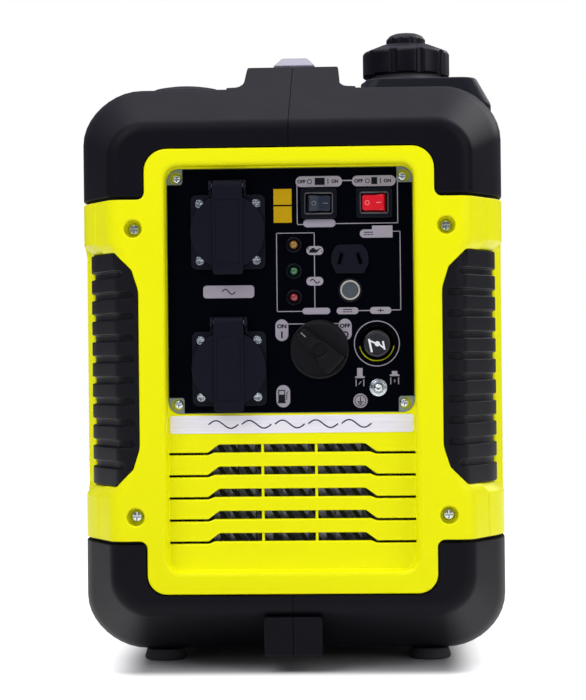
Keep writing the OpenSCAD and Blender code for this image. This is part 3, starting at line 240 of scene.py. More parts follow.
def rounded(u, v, r, steps=8):
    """Rectangle between two corners with rounded corners; r may differ below and above."""
    low, high = r if isinstance(r, tuple) else (r, r)
    return (
        arc(u[1] - low, v[0] + low, low, -90, 0, steps)
        + arc(u[1] - high, v[1] - high, high, 0, 90, steps)
        + arc(u[0] + high, v[1] - high, high, 90, 180, steps)
        + arc(u[0] + low, v[0] + low, low, 180, 270, steps)
    )


def disc(cu, cv, r, steps=32):
    """Points of a circle."""
    return arc(cu, cv, r, 0, 360 - 360 / steps, steps - 1)


def combine(piece, other, how="DIFFERENCE"):
    """Joins, cuts or keeps the common part of two closed pieces; the second is used up."""
    for solver in ("MANIFOLD", "EXACT"):
        kept = piece.data.copy()
        modifier = piece.modifiers.new("Combine", "BOOLEAN")
        modifier.operation = how
        modifier.solver = solver
        modifier.object = other
        activate(piece)
        bpy.ops.object.modifier_apply(modifier=modifier.name)
        if len(piece.data.polygons):
            break
        piece.data = kept
    else:
        raise RuntimeError(f"{piece.name} and {other.name} have nothing left when combined")
    bpy.data.objects.remove(other)
    return piece


def duplicate(piece, name):
    """Copy of a piece with its own mesh."""
    copy = piece.copy()
    copy.data = piece.data.copy()
    copy.name = copy.data.name = name
    bpy.context.scene.collection.objects.link(copy)
    return copy


def flipped(piece, axis=1):
    """Turns a piece into its own mirror image on the other side of the middle."""
    piece.scale[axis] = -1
    settle(piece)
    face_outwards(piece)
    return piece


def mirrored(piece, name, axis):
    """Copy on the other side of a plane through the origin."""
    return flipped(duplicate(piece, name), axis)


def soften(piece, width, segments=2, limit=38, merge=0.02, smooth=38):
    """Rounds the sharp edges, and shades the rest smooth."""
    activate(piece)
    if piece.data.has_custom_normals:
        bpy.ops.mesh.customdata_custom_splitnormals_clear()
    bpy.ops.object.mode_set(mode="EDIT")
    bpy.ops.mesh.select_all(action="SELECT")
    bpy.ops.mesh.remove_doubles(threshold=merge * MM)
    bpy.ops.mesh.dissolve_degenerate(threshold=merge * MM)
    bpy.ops.mesh.dissolve_limited(angle_limit=math.radians(0.4))
    bpy.ops.object.mode_set(mode="OBJECT")
    if width:
        modifier = piece.modifiers.new("Edges", "BEVEL")
        modifier.width = width * MM
        modifier.segments = segments
        modifier.limit_method = "ANGLE"
        modifier.angle_limit = math.radians(limit)
        modifier.use_clamp_overlap = False
        bpy.ops.object.modifier_apply(modifier=modifier.name)
    bpy.ops.object.shade_smooth_by_angle(angle=math.radians(smooth), keep_sharp_edges=False)
    modifier = piece.modifiers.new("Flat faces", "WEIGHTED_NORMAL")
    modifier.keep_sharp = True
    modifier.weight = 80
    bpy.ops.object.modifier_apply(modifier=modifier.name)
    return piece


# ---------------------------------------------------------------- casing form


def casing_outline(x, z, r, arcs=10, across=8):
    """Section of the casing with straight sides divided, and each point's share of the top's run."""
    points, shares = [], []

    def add(u, v, share):
        points.append((u, v))
        shares.append(share)

    corners = ((x - r, z[0] + r, -90), (x - r, z[1] - r, 0), (r - x, z[1] - r, 90), (r - x, z[0] + r, 180))
    for cu, cv, start in corners:
        for i, (u, v) in enumerate(arc(cu, cv, r, start, start + 90, arcs)):
            t = abs(math.sin(math.radians(start + 90 * i / arcs)))
            add(u, v, t * t * (3 - 2 * t))
        if start in (-90, 90):
            heights = UPRIGHT_Z if start == -90 else reversed(UPRIGHT_Z)
            for height in heights:
                add(x if start == -90 else -x, height, 0)
        else:
            way, level = (1, z[1]) if start == 0 else (-1, z[0])
            for i in range(1, across):
                add((x - r) * (1 - 2 * i / across) * way, level, 1)
    return points, shares


def bend(before, at, after, steps):
    """Points of a soft turn from one to another, pulled towards the middle one."""
    return [before.lerp(at, t).lerp(at.lerp(after, t), t) for t in (i / steps for i in range(steps + 1))]


def waisted(point, depth):
    """Draws a point on the casing's side in towards the middle, between the heights of the corner grips."""
    low, full_low, full_high, high = WAIST_Z
    above = max((point.z - low) / (full_low - low), 0)
    below = max((high - point.z) / (high - full_high), 0)
    start, end = WAIST_Y
    fade = min(max((end - point.y) / (end - start), 0), 1)
    drawn = math.copysign(depth * min(above, below, 1) * fade, point.x)
    return Vector((point.x - drawn, point.y, point.z))


def casing_form(name, inset=0.0, waist=0.0):
    """The casing's outer form, drawn in by inset on every side, with soft bevels at both ends."""
    side = math.tan(math.atan2(SIDE_RUN, HALF_W - ZONE_X) / 2)
    top = math.tan(math.atan2(TOP_RUN, TOP - ZONE_Z[1]) / 2)
    low = math.tan(math.atan2(TOP_RUN, ZONE_Z[0] - GROUND_GAP) / 2)
    zone_z = (ZONE_Z[0] + inset * low, ZONE_Z[1] - inset * top)
    zone = (ZONE_X - inset * side, zone_z, ZONE_R - inset)
    body = (HALF_W - inset, (GROUND_GAP + inset, TOP - inset), BODY_R - inset)
    lead, body_soft = 7.0, 15.0
    flat = casing_outline(zone[0] - lead, (zone_z[0] + lead, zone_z[1] - lead), zone[2] - lead)[0]
    edge = casing_outline(*zone)[0]
    full, shares = casing_outline(*body)
    end = FRONT + inset
    lines = []
    for (au, av), (bu, bv), (cu, cv), share in zip(flat, edge, full, shares):
        a, b = Vector((au, end, av)), Vector((bu, end, bv))
        run = SIDE_RUN + (TOP_RUN - SIDE_RUN) * share - inset * 0.5
        c = Vector((cu, end + run, cv))
        slope = (c - b).normalized()
        past = c + Vector((0, body_soft, 0))
        middle_ys = (max(WAIST_Y[1], past.y + 5), -140, -95, -50, 0)
        half = [*bend(a, b, b + slope * lead, 5), *bend(c - slope * body_soft, c, past, 6)]
        half += [Vector((cu, y, cv)) for y in middle_ys]
        if share == 0 and waist:
            half = [waisted(point, waist) for point in half]
        lines.append(half + [Vector((p.x, -p.y, p.z)) for p in reversed(half[:-1])])
    return loft(name, [[line[k] for line in lines] for k in range(len(lines[0]))])


def ring_prism(name, gap, low, high):
    """Column along y with the outline of the raised ring, wider by a gap all round."""
    radii = (RING_R[0] + gap, RING_R[1] + gap)
    return prism(name, "y", rounded(around(0, RING_X + gap), grown(RING_Z, gap), radii, 10), low, high)


def rim_outline(grow, steps=10):
    """Outline of the recess inside the rim, wider by some growth all round."""
    return rounded(around(0, RIM_X + grow), grown(RIM_Z, grow), RIM_R + grow, steps)


def outline(points, steps=6):
    """Outline whose corners are given as (u, v, radius) and rounded with short arcs."""
    line = []
    for i, (u, v, r) in enumerate(points):
        at = Vector((u, v))
        if r <= 0:
            line.append((u, v))
            continue
        before = Vector(points[i - 1][:2]) - at
        after = Vector(points[(i + 1) % len(points)][:2]) - at
        half = before.angle(after) / 2
        cut = min(r / math.tan(half), 0.49 * before.length, 0.49 * after.length)
        centre = at + (before.normalized() + after.normalized()).normalized() * (cut / math.cos(half))
        a, c = at + before.normalized() * cut - centre, at + after.normalized() * cut - centre
        turn = a.angle(c)
        for s in range(steps + 1):
            t = s / steps
            p = centre + (a * math.sin((1 - t) * turn) + c * math.sin(t * turn)) / math.sin(turn)
            line.append((p.x, p.y))
    return line


def both_sides(points):
    """Outline drawn on the right from bottom to top, completed with its mirror image on the left."""
    return list(points) + [(-p[0], *p[1:]) for p in reversed(points)]


def moved(points, du, dv):
    """Outline moved across and up."""
    return [(u + du, v + dv) for u, v in points]


def turned(name, at, y, profile, steps=64):
    """Turned piece whose axis points out of the panel: a profile of (radius, distance in front of y)."""
    rings = [[(at[0] + u, y - d, at[1] + v) for u, v in disc(0, 0, max(r, 0.01), steps)] for r, d in profile]
    return loft(name, rings)


def upright(name, at, z, profile, steps=96):
    """Turned piece with an upright axis: a profile of (radius, height above z)."""
    rings = [[(at[0] + u, at[1] + v, z + h) for u, v in disc(0, 0, max(r, 0.01), steps)] for r, h in profile]
    return loft(name, rings)


def refined(source, name, width, segments=2, limit=35):
    """Copy of a node's own shape, merged, with flat faces joined and its sharp edges rounded."""
    piece = duplicate(NODES[source], name)
    piece.parent = None
    piece.hide_render = False
    piece.hide_viewport = False
    for key in [k for k in piece.keys() if k.startswith("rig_")]:
        del piece[key]
    piece.data.materials.clear()
    activate(piece)
    bpy.ops.object.mode_set(mode="EDIT")
    bpy.ops.mesh.select_all(action="SELECT")
    bpy.ops.mesh.remove_doubles(threshold=0.004 * MM)
    bpy.ops.mesh.dissolve_limited(angle_limit=math.radians(0.6))
    bpy.ops.object.mode_set(mode="OBJECT")
    return soften(piece, width, segments, limit, merge=0.004)


# ---------------------------------------------------------------- finishes


def linear(*colour):
    """Linear colour from one written in 0 to 255."""
    shares = [value / 255 for value in colour]
    return tuple(c / 12.92 if c <= 0.04045 else ((c + 0.055) / 1.055) ** 2.4 for c in shares)


def node_group(name, inputs, outputs):
    """New shader group with named sockets, and the nodes of its two ends."""
    group = bpy.data.node_groups.new(name, "ShaderNodeTree")
    for label, kind, value in inputs:
        socket = group.interface.new_socket(label, in_out="INPUT", socket_type=kind)
        socket.default_value = value
    for label, kind in outputs:
        group.interface.new_socket(label, in_out="OUTPUT", socket_type=kind)
    return group, group.nodes.new("NodeGroupInput"), group.nodes.new("NodeGroupOutput")


def node(tree, kind, links=(), **values):
    """Node with its settings, its sockets' values given by name, and its links from (socket, place)."""
    made = tree.nodes.new(kind)
    for key, value in values.items():
        if hasattr(made, key):
            setattr(made, key, value)
        else:
            made.inputs[key.replace("_", " ")].default_value = value
    for source, place in links:
        tree.links.new(source, made.inputs[place])
    return made


def maths(tree, operation, a, b, clamp=False):
    """Result of a Math node, whose two values are numbers or sockets."""
    made = tree.nodes.new("ShaderNodeMath")
    made.operation = operation
    made.use_clamp = clamp
    for i, value in enumerate((a, b)):
        if isinstance(value, (int, float)):
            made.inputs[i].default_value = value
        else:
            tree.links.new(value, made.inputs[i])
    return made.outputs[0]


def blended(tree, kind, factor, a, b):
    """Colour mixed from two, each of them a colour or a socket."""
    made = tree.nodes.new("ShaderNodeMix")
    made.data_type = "RGBA"
    made.blend_type = kind
    for place, value in ((0, factor), (6, a), (7, b)):
        if isinstance(value, (int, float, tuple)):
            made.inputs[place].default_value = value
        else:
            tree.links.new(value, made.inputs[place])
    return made.outputs[2]


def swing(tree, noise, gain):
    """A noise's swing to both sides of its middle, times a gain."""
    return maths(tree, "MULTIPLY", maths(tree, "SUBTRACT", noise.outputs["Fac"], 0.5), gain)


def grey(tree, value):
    """Grey colour with the same value in its three channels."""
    channels = [(value, channel) for channel in ("Red", "Green", "Blue")]
    return node(tree, "ShaderNodeCombineColor", channels).outputs[0]


def coordinates(tree, kind, place):
    """One of the three object or direction coordinates of a texture's place, by name."""
    given = tree.nodes.new("ShaderNodeTexCoord").outputs[kind]
    return node(tree, "ShaderNodeSeparateXYZ", [(given, 0)]).outputs[place]


def put_out(tree, out, **values):
    """Links what a group puts out, by name."""
    for label, value in values.items():
        tree.links.new(value, out.inputs[label])
    return tree


def moulded_group():
    """Moulded plastic: mottled colour, uneven gloss, settled dust and a leather grain."""
    tree, given, out = node_group(
        "Moulded Surface",
        [
            ("Colour", "NodeSocketColor", (0.5, 0.5, 0.5, 1)),
            ("Mottle", "NodeSocketFloat", 0.1),
            ("Roughness", "NodeSocketFloat", 0.5),
            ("Uneven Gloss", "NodeSocketFloat", 0.1),
            ("Grain Size", "NodeSocketFloat", 1.2),
            ("Dust", "NodeSocketFloat", 0.1),
            ("Dust Colour", "NodeSocketColor", (0.35, 0.33, 0.3, 1)),
        ],
        [("Colour", "NodeSocketColor"), ("Roughness", "NodeSocketFloat"), ("Grain", "NodeSocketFloat")],
    )
    place = tree.nodes.new("ShaderNodeTexCoord").outputs["Object"]
    broad = node(tree, "ShaderNodeTexNoise", [(place, "Vector")], Scale=14.0, Detail=3.0, Roughness=0.55)
    fine = node(tree, "ShaderNodeTexNoise", [(place, "Vector")], Scale=420.0, Detail=2.0, Roughness=0.6)
    cells = maths(tree, "DIVIDE", 1000.0, given.outputs["Grain Size"])
    warp = node(tree, "ShaderNodeTexNoise", [(place, "Vector"), (cells, "Scale")], Detail=1.0)
    nudge = node(tree, "ShaderNodeVectorMath", [(warp.outputs["Color"], 0)], operation="SCALE", Scale=0.0006)
    bent = node(tree, "ShaderNodeVectorMath", [(place, 0), (nudge.outputs[0], 1)], operation="ADD")
    pebbles = node(
        tree, "ShaderNodeTexVoronoi", [(bent.outputs[0], "Vector"), (cells, "Scale")],
        feature="SMOOTH_F1", Smoothness=0.5, Randomness=1.0,
    )
    grain = maths(tree, "SUBTRACT", 1.0, pebbles.outputs["Distance"])
    shade = maths(tree, "ADD", swing(tree, broad, 1.6), swing(tree, fine, 0.8))
    factor = maths(tree, "ADD", 1.0, maths(tree, "MULTIPLY", shade, given.outputs["Mottle"]))
    mottled = blended(tree, "MULTIPLY", 1.0, given.outputs["Colour"], grey(tree, factor))
    normal = tree.nodes.new("ShaderNodeNewGeometry").outputs["Normal"]
    up = node(tree, "ShaderNodeSeparateXYZ", [(normal, 0)])
    specks = node(tree, "ShaderNodeTexNoise", [(place, "Vector")], Scale=55.0, Detail=6.0, Roughness=0.7)
    settled = maths(tree, "SUBTRACT", specks.outputs["Fac"], 0.42, clamp=True)
    lying = maths(tree, "MULTIPLY", maths(tree, "MAXIMUM", up.outputs["Z"], 0.0), settled)
    dust = maths(tree, "MULTIPLY", lying, given.outputs["Dust"], clamp=True)
    colour = blended(tree, "MIX", dust, mottled, given.outputs["Dust Colour"])
    gloss = maths(tree, "ADD", given.outputs["Roughness"], swing(tree, broad, given.outputs["Uneven Gloss"]))
    gloss = maths(tree, "ADD", gloss, maths(tree, "MULTIPLY", dust, 0.6), clamp=True)
    return put_out(tree, out, Colour=colour, Roughness=gloss, Grain=grain)


def metal_group():
    """Metal: brushed or cast, with a tarnished, uneven tone."""
    tree, given, out = node_group(
        "Metal Surface",
        [
            ("Colour", "NodeSocketColor", (0.6, 0.6, 0.6, 1)),
            ("Tarnish Colour", "NodeSocketColor", (0.3, 0.28, 0.22, 1)),
            ("Tarnish", "NodeSocketFloat", 0.3),
            ("Roughness", "NodeSocketFloat", 0.35),
            ("Brush", "NodeSocketVector", (1.0, 1.0, 1.0)),
        ],
        [("Colour", "NodeSocketColor"), ("Roughness", "NodeSocketFloat"), ("Grain", "NodeSocketFloat")],
    )
    place = tree.nodes.new("ShaderNodeTexCoord").outputs["Object"]
    drawn = node(
        tree, "ShaderNodeVectorMath", [(place, 0), (given.outputs["Brush"], 1)], operation="MULTIPLY")
    lines = node(
        tree, "ShaderNodeTexNoise", [(drawn.outputs[0], "Vector")], Scale=900.0, Detail=3.0, Roughness=0.6)
    broad = node(tree, "ShaderNodeTexNoise", [(place, "Vector")], Scale=60.0, Detail=4.0, Roughness=0.6)
    worn = maths(tree, "SUBTRACT", broad.outputs["Fac"], 0.4, clamp=True)
    patches = maths(tree, "MULTIPLY", worn, given.outputs["Tarnish"])
    patches = maths(tree, "MULTIPLY", patches, 2.0, clamp=True)
    colour = blended(tree, "MIX", patches, given.outputs["Colour"], given.outputs["Tarnish Colour"])
    shade = maths(tree, "ADD", 0.88, maths(tree, "MULTIPLY", lines.outputs["Fac"], 0.24))
    colour = blended(tree, "MULTIPLY", 1.0, colour, grey(tree, shade))
    gloss = maths(tree, "ADD", given.outputs["Roughness"], swing(tree, lines, 0.25))
    gloss = maths(tree, "ADD", gloss, maths(tree, "MULTIPLY", patches, 0.25), clamp=True)
    return put_out(tree, out, Colour=colour, Roughness=gloss, Grain=lines.outputs["Fac"])


GROUPS = {}


def shared(name, make):
    """Node group of a name, built the first time that it is asked for."""
    if name not in GROUPS:
        GROUPS[name] = make()
    return GROUPS[name]


def new_material(name, group, values, depth, **shader):
    """Material whose colour, gloss and bump come from a shared group, and the rest from the shader itself."""
    material = bpy.data.materials.new(name)
    material.use_nodes = True
    tree = material.node_tree
    surface = tree.nodes["Principled BSDF"]
    for label, value in shader.items():
        surface.inputs[label.replace("_", " ")].default_value = value
    placed = tree.nodes.new("ShaderNodeGroup")
    placed.node_tree = group
    for label, value in values.items():
        placed.inputs[label].default_value = value
    grain = placed.outputs["Grain"]
    bump = node(tree, "ShaderNodeBump", [(grain, "Height")], Strength=1.0, Distance=depth * MM)
    tree.links.new(placed.outputs["Colour"], surface.inputs["Base Color"])
    tree.links.new(placed.outputs["Roughness"], surface.inputs["Roughness"])
    tree.links.new(bump.outputs["Normal"], surface.inputs["Normal"])
    return material


def moulded(name, colour, roughness, grain, depth, mottle, uneven, dust, **shader):
    """Moulded plastic or rubber; its grain's size and depth are in millimetres."""
    values = {
        "Colour": (*colour, 1),
        "Mottle": mottle,
        "Roughness": roughness,
        "Uneven Gloss": uneven,
        "Grain Size": grain,
        "Dust": dust,
    }
    return new_material(name, shared("moulded", moulded_group), values, depth, **shader)


def metal(name, colour, roughness, tarnish, tarnish_colour, brush, depth, **shader):
    """Metal or metallic paint; brush stretches its lines along an axis where it is small."""
    values = {
        "Colour": (*colour, 1),
        "Tarnish": tarnish,
        "Tarnish Colour": (*tarnish_colour, 1),
        "Roughness": roughness,
        "Brush": brush,
    }
    shader.setdefault("Metallic", 1.0)
    return new_material(name, shared("metal", metal_group), values, depth, **shader)


CLEAR = {"Transmission_Weight": 0.2, "IOR": 1.49, "Coat_Weight": 0.6, "Coat_Roughness": 0.05}
# Clear coloured lamp lens: a lit core seen through a glossy skin.
LENS = (0.14, 2.0, 0.001, 0.08, 0.04, 0.0, {**CLEAR, "Subsurface_Weight": 0.15, "Subsurface_Scale": 0.002})


def dull(level):
    """Shader setting of how much a plastic mirrors."""
    return {"Specular_IOR_Level": level}


# Each slot's name, colour (a setting's name or 0 to 255), roughness, grain size, grain depth, mottle,
# uneven gloss and dust, and what its shader is given.
PLASTICS = {
    "shell_black": ("Casing Plastic", "shell", 0.46, 1.3, 0.05, 0.14, 0.12, 0.04, dull(0.09)),
    "body_yellow": ("Yellow Cover Plastic", "yellow", 0.4, 2.2, 0.004, 0.02, 0.08, 0.01, dull(0.16)),
    "grip_black": ("Grip Rubber", "grip", 0.5, 0.8, 0.03, 0.15, 0.12, 0.03, dull(0.13)),
    "handle_silver": (
        "Silver Lacquer", "silver", 0.3, 0.5, 0.004, 0.06, 0.1, 0.04,
        {"Metallic": 0.75, "Coat_Weight": 0.4, "Coat_Roughness": 0.12}),
    "cover_black": ("Cover Plastic", "cover", 0.42, 1.0, 0.03, 0.15, 0.14, 0.03, dull(0.14)),
    "tank_plastic": (
        "Tank Plastic", (130, 130, 134), 0.45, 1.6, 0.05, 0.12, 0.1, 0.1,
        {"Subsurface_Weight": 0.05, "Subsurface_Scale": 0.004}),
    "cap_black": ("Cap Plastic", "cap", 0.36, 0.9, 0.02, 0.15, 0.12, 0.02, dull(0.2)),
    "seal_rubber": ("Seal Rubber", (40, 40, 40), 0.8, 0.6, 0.03, 0.1, 0.12, 0.08, {}),
    "panel_print": ("Panel Film", "panel", 0.5, 0.35, 0.002, 0.12, 0.12, 0.0, dull(0.02)),
    "panel_grey": ("Panel Paint", (128, 144, 150), 0.38, 0.9, 0.008, 0.06, 0.12, 0.02, {"Metallic": 0.3}),
    "grille_black": ("Grille Plastic", (15, 16, 10), 0.6, 1.0, 0.02, 0.2, 0.1, 0.01, dull(0.06)),
    "socket_black": ("Socket Plastic", "socket", 0.5, 0.7, 0.02, 0.12, 0.12, 0.01, dull(0.1)),
    "switch_black": ("Switch Plastic", (9, 12, 23), 0.34, 0.6, 0.006, 0.08, 0.1, 0.0, dull(0.14)),
    "rocker_black": ("Black Rocker", (34, 42, 56), 0.26, 0.6, 0.004, 0.06, 0.08, 0.0, {}),
    "rocker_red": (
        "Red Rocker", "red", 0.22, 0.9, 0.004, 0.05, 0.06, 0.01,
        {"Subsurface_Weight": 0.2, "Subsurface_Scale": 0.002, "Coat_Weight": 0.3}),
    "lens_amber": ("Amber Lens", (150, 104, 12), *LENS),
    "lens_green": ("Green Lens", (16, 98, 50), *LENS),
    "lens_red": ("Red Lens", (146, 10, 26), *LENS),
    "button_clear": (
        "Reset Button Plastic", (84, 93, 100), 0.24, 0.7, 0.006, 0.1, 0.1, 0.02,
        {"Transmission_Weight": 0.25, "IOR": 1.49, "Coat_Weight": 0.4}),
    "ceramic_white": (
        "Glazed Ceramic", (236, 234, 226), 0.16, 1.4, 0.004, 0.03, 0.05, 0.02, {"Coat_Weight": 0.5}),
    "starter_black": ("Starter Plastic", (44, 45, 50), 0.5, 1.1, 0.05, 0.15, 0.12, 0.12, {}),
    "reel_white": ("Reel Plastic", (222, 222, 212), 0.42, 1.2, 0.01, 0.04, 0.1, 0.1, {}),
    "foot_rubber": ("Foot Rubber", (46, 46, 50), 0.72, 0.9, 0.05, 0.2, 0.12, 0.2, {}),
}
EVEN = (1, 1, 1)
OILY = (0.25, 0.22, 0.16)
# Each slot's name, colour, roughness, tarnish, tarnish colour, brush and grain depth, and its shader's.
METALS = {
    "strip_silver": ("Brushed Strip", "strip", 0.38, 0.05, OILY, (0.03, 1, 1), 0.01, {"Metallic": 0.35}),
    "brass": ("Brass", (214, 176, 96), 0.28, 0.3, (0.2, 0.12, 0.05), EVEN, 0.01, {}),
    "zinc_steel": ("Zinc Plated Steel", (200, 208, 212), 0.22, 0.2, (0.3, 0.34, 0.3), EVEN, 0.004, {}),
    "shaft_steel": ("Ground Steel", (200, 200, 205), 0.24, 0.15, OILY, (1, 0.05, 1), 0.01, {}),
    "cast_aluminium": ("Cast Aluminium", (188, 190, 194), 0.55, 0.3, (0.2, 0.2, 0.2), EVEN, 0.08, {}),
    "rotor_iron": (
        "Painted Iron", (72, 74, 80), 0.5, 0.4, (0.1, 0.08, 0.07), EVEN, 0.03, {"Metallic": 0.6}),
    "winding_copper": (
        "Enamelled Copper", (184, 96, 48), 0.34, 0.2, (0.2, 0.06, 0.03), (6, 0.2, 0.2), 0.05, {}),
    "muffler_steel": ("Heated Steel", (150, 146, 142), 0.42, 0.6, (0.24, 0.15, 0.09), EVEN, 0.02, {}),
}


def toned(colour):
    """Linear colour from the name of a colour setting, or from values in 0 to 255."""
    if isinstance(colour, str):
        return tuple(getattr(bpy.context.scene.generator_colours, colour))
    return linear(*colour)


def make_finish(slot):
    """Material of one of the record's slots."""
    make, recipe = (metal, METALS[slot]) if slot in METALS else (moulded, PLASTICS[slot])
    name, colour, *values, shader = recipe
    return make(name, toned(colour), *values, **shader)


FINISHES = {}


def finish(slot):
    """Material of a slot, made the first time that it is asked for."""
    if slot not in FINISHES:
        FINISHES[slot] = make_finish(slot)
    return FINISHES[slot]


def complete(piece, body, slot, *nodes, material=None):
    """Gives a finished piece its material, its body and the nodes that it stands for."""
    piece.data.materials.clear()
    piece.data.materials.append(material or finish(slot))
    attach(piece, body)
    if nodes:
        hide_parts(*nodes)
    return piece


def refine(node_name, **settings):
    """Stands a node's refined copy in its place, on the same body and with the same finish."""
    piece = refined(node_name, **settings)
    return complete(piece, BODY_OF[node_name], SLOT_OF[node_name], node_name)


SLOT_OF = {part["node"]: part["material_slot"] for part in FRAME["record"]["subparts"]}
BODY_OF = {name: body for body, names in FRAME["record"]["behaviour"]["bodies"].items() for name in names}


# ---------------------------------------------------------------- casing


def bevel_y(z):
    """Where the top's bevel stands at a height."""
    return FRONT + (z - ZONE_Z[1]) * TOP_RUN / (TOP - ZONE_Z[1])


def shell_form():
    """Both casing shells in one, before they part at the middle."""
    form = casing_form("shells")
    low, high = grown(BELT, BELT_GAP)
    band = slab("band", ALL_X, ALL_Y, (low, high))
    combine(band, casing_form("belt seat", BELT_T, WAIST))
    combine(form, band)
    combine(form, casing_form("hollow", BELT_T + WALL, WAIST))
    for z in ((0, low - WALL), (high + WALL, TOP + 1)):
        part = casing_form("hollow end", WALL)
        combine(part, slab("zone", ALL_X, ALL_Y, z), "INTERSECT")
        combine(form, part)
    walls = rounded(grown(WELL_X, WALL), grown(WELL_Y, WALL), WELL_R + WALL)
    combine(form, prism("well walls", "z", walls, WELL_FLOOR - WALL, TOP - 1), "UNION")
    side = [(FRONT, 12, 1.5), (FRONT, 38, 2), (-240, 38, 0), (-205, 16, 0), (-205, 12, 0)]
    for end in (1, -1):
        block = prism("centre block", "x", outline(side), *around(0, 19.5))
        soften(block, 1.6, 3)
        combine(form, block if end > 0 else flipped(block), "UNION")
    for end in (1, -1):
        opening = ring_prism("opening", 0.8, AHEAD, -225)
        combine(form, opening if end > 0 else flipped(opening))
    combine(form, prism("well", "z", rounded(WELL_X, WELL_Y, WELL_R), WELL_FLOOR, TOP + 2))
    combine(form, prism("filler hole", "z", disc(*FILLER_AT, 29.5), 380, TOP + 2))
    combine(form, prism("service hole", "z", disc(*SERVICE_AT, 26.5), 386, TOP + 2))
    for x, z in FRAME_SCREWS:
        for low, high in ((AHEAD, -212), (212, -AHEAD)):
            combine(form, prism("boss hole", "y", disc(x, z, 8.6), low, high))
    for x in (-93, 93):
        for y in (-173, 173):
            combine(form, prism("foot hole", "z", disc(x, y, 5.3), 6, 13))
    return form


def handle_form():
    """The handle's two feet and its bar, with the channel for the silver insert."""
    foot = outline(both_sides([(45, 385, 0), (45, 399.5, 0), (33.6, 400.2, 6), (32.4, 418.6, 1.8)]), 6)
    side = [(bevel_y(385), 385, 0), (bevel_y(418.6), 418.6, 3), (-136, 418.4, 3), (-127, 421, 3)]
    handle = prism("handle", "y", foot, -246, -117.9)
    combine(handle, mirrored(handle, "rear foot", 1), "UNION")

    def section(t):
        soft = t * t * (3 - 2 * t)
        half, top = 33.2 + (18 - 33.2) * soft, 31.4 + (18 - 31.4) * soft
        low = 0.2 + 6.8 * soft
        return outline(both_sides([(half, 398, low), (half, 404, 0), (top, 424, 0)]), 6)

    stations = [(-118.2 + 26.2 * i / 8, i / 8) for i in range(9)]
    stations += [(-y, t) for y, t in reversed(stations)]
    bar = loft("bar", [[(u, y, v) for u, v in section(t)] for y, t in stations])
    combine(handle, bar, "UNION")
    combine(handle, prism("profile", "x", outline(both_sides(side), 5), -45, 45), "INTERSECT")
    combine(handle, slab("channel", around(0, 15.3), around(0, 125.3), (419, 440)))
    return soften(handle, 0.5, 2, limit=50)


def starter_outline(half_y, half_z, r, steps=8):
    """Outline on the left side around the starter's grip."""
    y, z = STARTER_AT
    return rounded(around(y, half_y), around(z, half_z), r, steps)


def shells(edge):
    """The left and the right shell, with the starter's pocket and the holes of the side's screws."""
    form = soften(shell_form(), edge, 2)
    combine(form, handle_form(), "UNION")
    left = duplicate(form, "casing_left")
    right = duplicate(form, "casing_right")
    bpy.data.objects.remove(form)
    combine(left, slab("other side", (-0.2, 200), (-300, 300), (-10, 500)))
    combine(right, slab("other side", (-200, 0.2), (-300, 300), (-10, 500)))
    combine(left, prism("pocket wall", "x", starter_outline(42, 19, 9), -142, -121), "UNION")
    combine(left, prism("pocket", "x", starter_outline(39, 16, 6), -150, -124))
    combine(left, prism("rope hole", "x", disc(*STARTER_AT, 5.2), -126, -119))
    for y, z in SIDE_SCREWS:
        combine(right, prism("screw hole", "x", disc(y, z, 2.4), 137, 146))
    for side, piece in (("left", left), ("right", right)):
        soften(piece, 0)
        complete(piece, "casing", "shell_black", side + "_shell")


# ---------------------------------------------------------------- yellow covers


def frame_outline():
    """The raised ring and its two wings, with hollow corners between them."""
    x, (z0, z1), (low, high) = RING_X, RING_Z, RING_R
    reach, r = 150, 5.0
    right = [(x - low, z0, 0)]
    right += [(u, v, 0) for u, v in arc(x - low, z0 + low, low, -80, 0, 8)]
    right += [(x, BELT[0], r), (reach, BELT[0], 0), (reach, BELT[1], 0), (x, BELT[1], r)]
    right += [(u, v, 0) for u, v in arc(x - high, z1 - high, high, 0, 80, 8)]
    right += [(x - high, z1, 0)]
    return outline(both_sides(right), 6)


def frame_body(name, edge):
    """Ring, wings and screw wells of the front or rear cover, drawn at the front."""
    body = casing_form(name, 0, WAIST)
    combine(body, prism("reach", "y", frame_outline(), -250, -SEAM_Y - 0.3), "INTERSECT")
    rings = [(FRONT - 1, LIP + 0.6)]
    for i in range(7):
        depth = LIP * i / 6
        rings.append((FRONT + depth, LIP - math.sqrt(max(LIP * LIP - (LIP - depth) ** 2, 0))))
    rings.append((RECESS_Y, 0))
    combine(body, loft("recess", [[(u, y, v) for u, v in rim_outline(grow)] for y, grow in rings]))
    for side in (1, -1):
        combine(body, grip_opening(side))
    soften(body, edge, 3)
    inner = casing_form("inner", BELT_T - 0.2, WAIST)
    combine(inner, ring_prism("ring", 0, -260, RECESS_Y + 3))
    combine(body, inner)
    cavity = rounded((3 - RING_X, RING_X - 3), (RING_Z[0] + 3, RING_Z[1] - 3), (10, 12), 8)
    cavity = prism("cavity", "y", cavity, -246, -233.9)
    combine(cavity, prism("rim wall", "y", rim_outline(3, 8), -247, -233))
    combine(body, cavity)
    well = [
        (7.2, 1), (7.2, 0.02), (6.6, -0.15), (6.2, -0.5), (6, -1.1), (6, -11), (2.5, -11.01), (2.5, -18)]
    for x, z in FRAME_SCREWS:
        combine(body, prism("boss", "y", disc(x, z, 8), FRONT + 2, FRONT + 16), "UNION")
        combine(body, turned("well", (x, z), FRONT, well, 40))
    return body


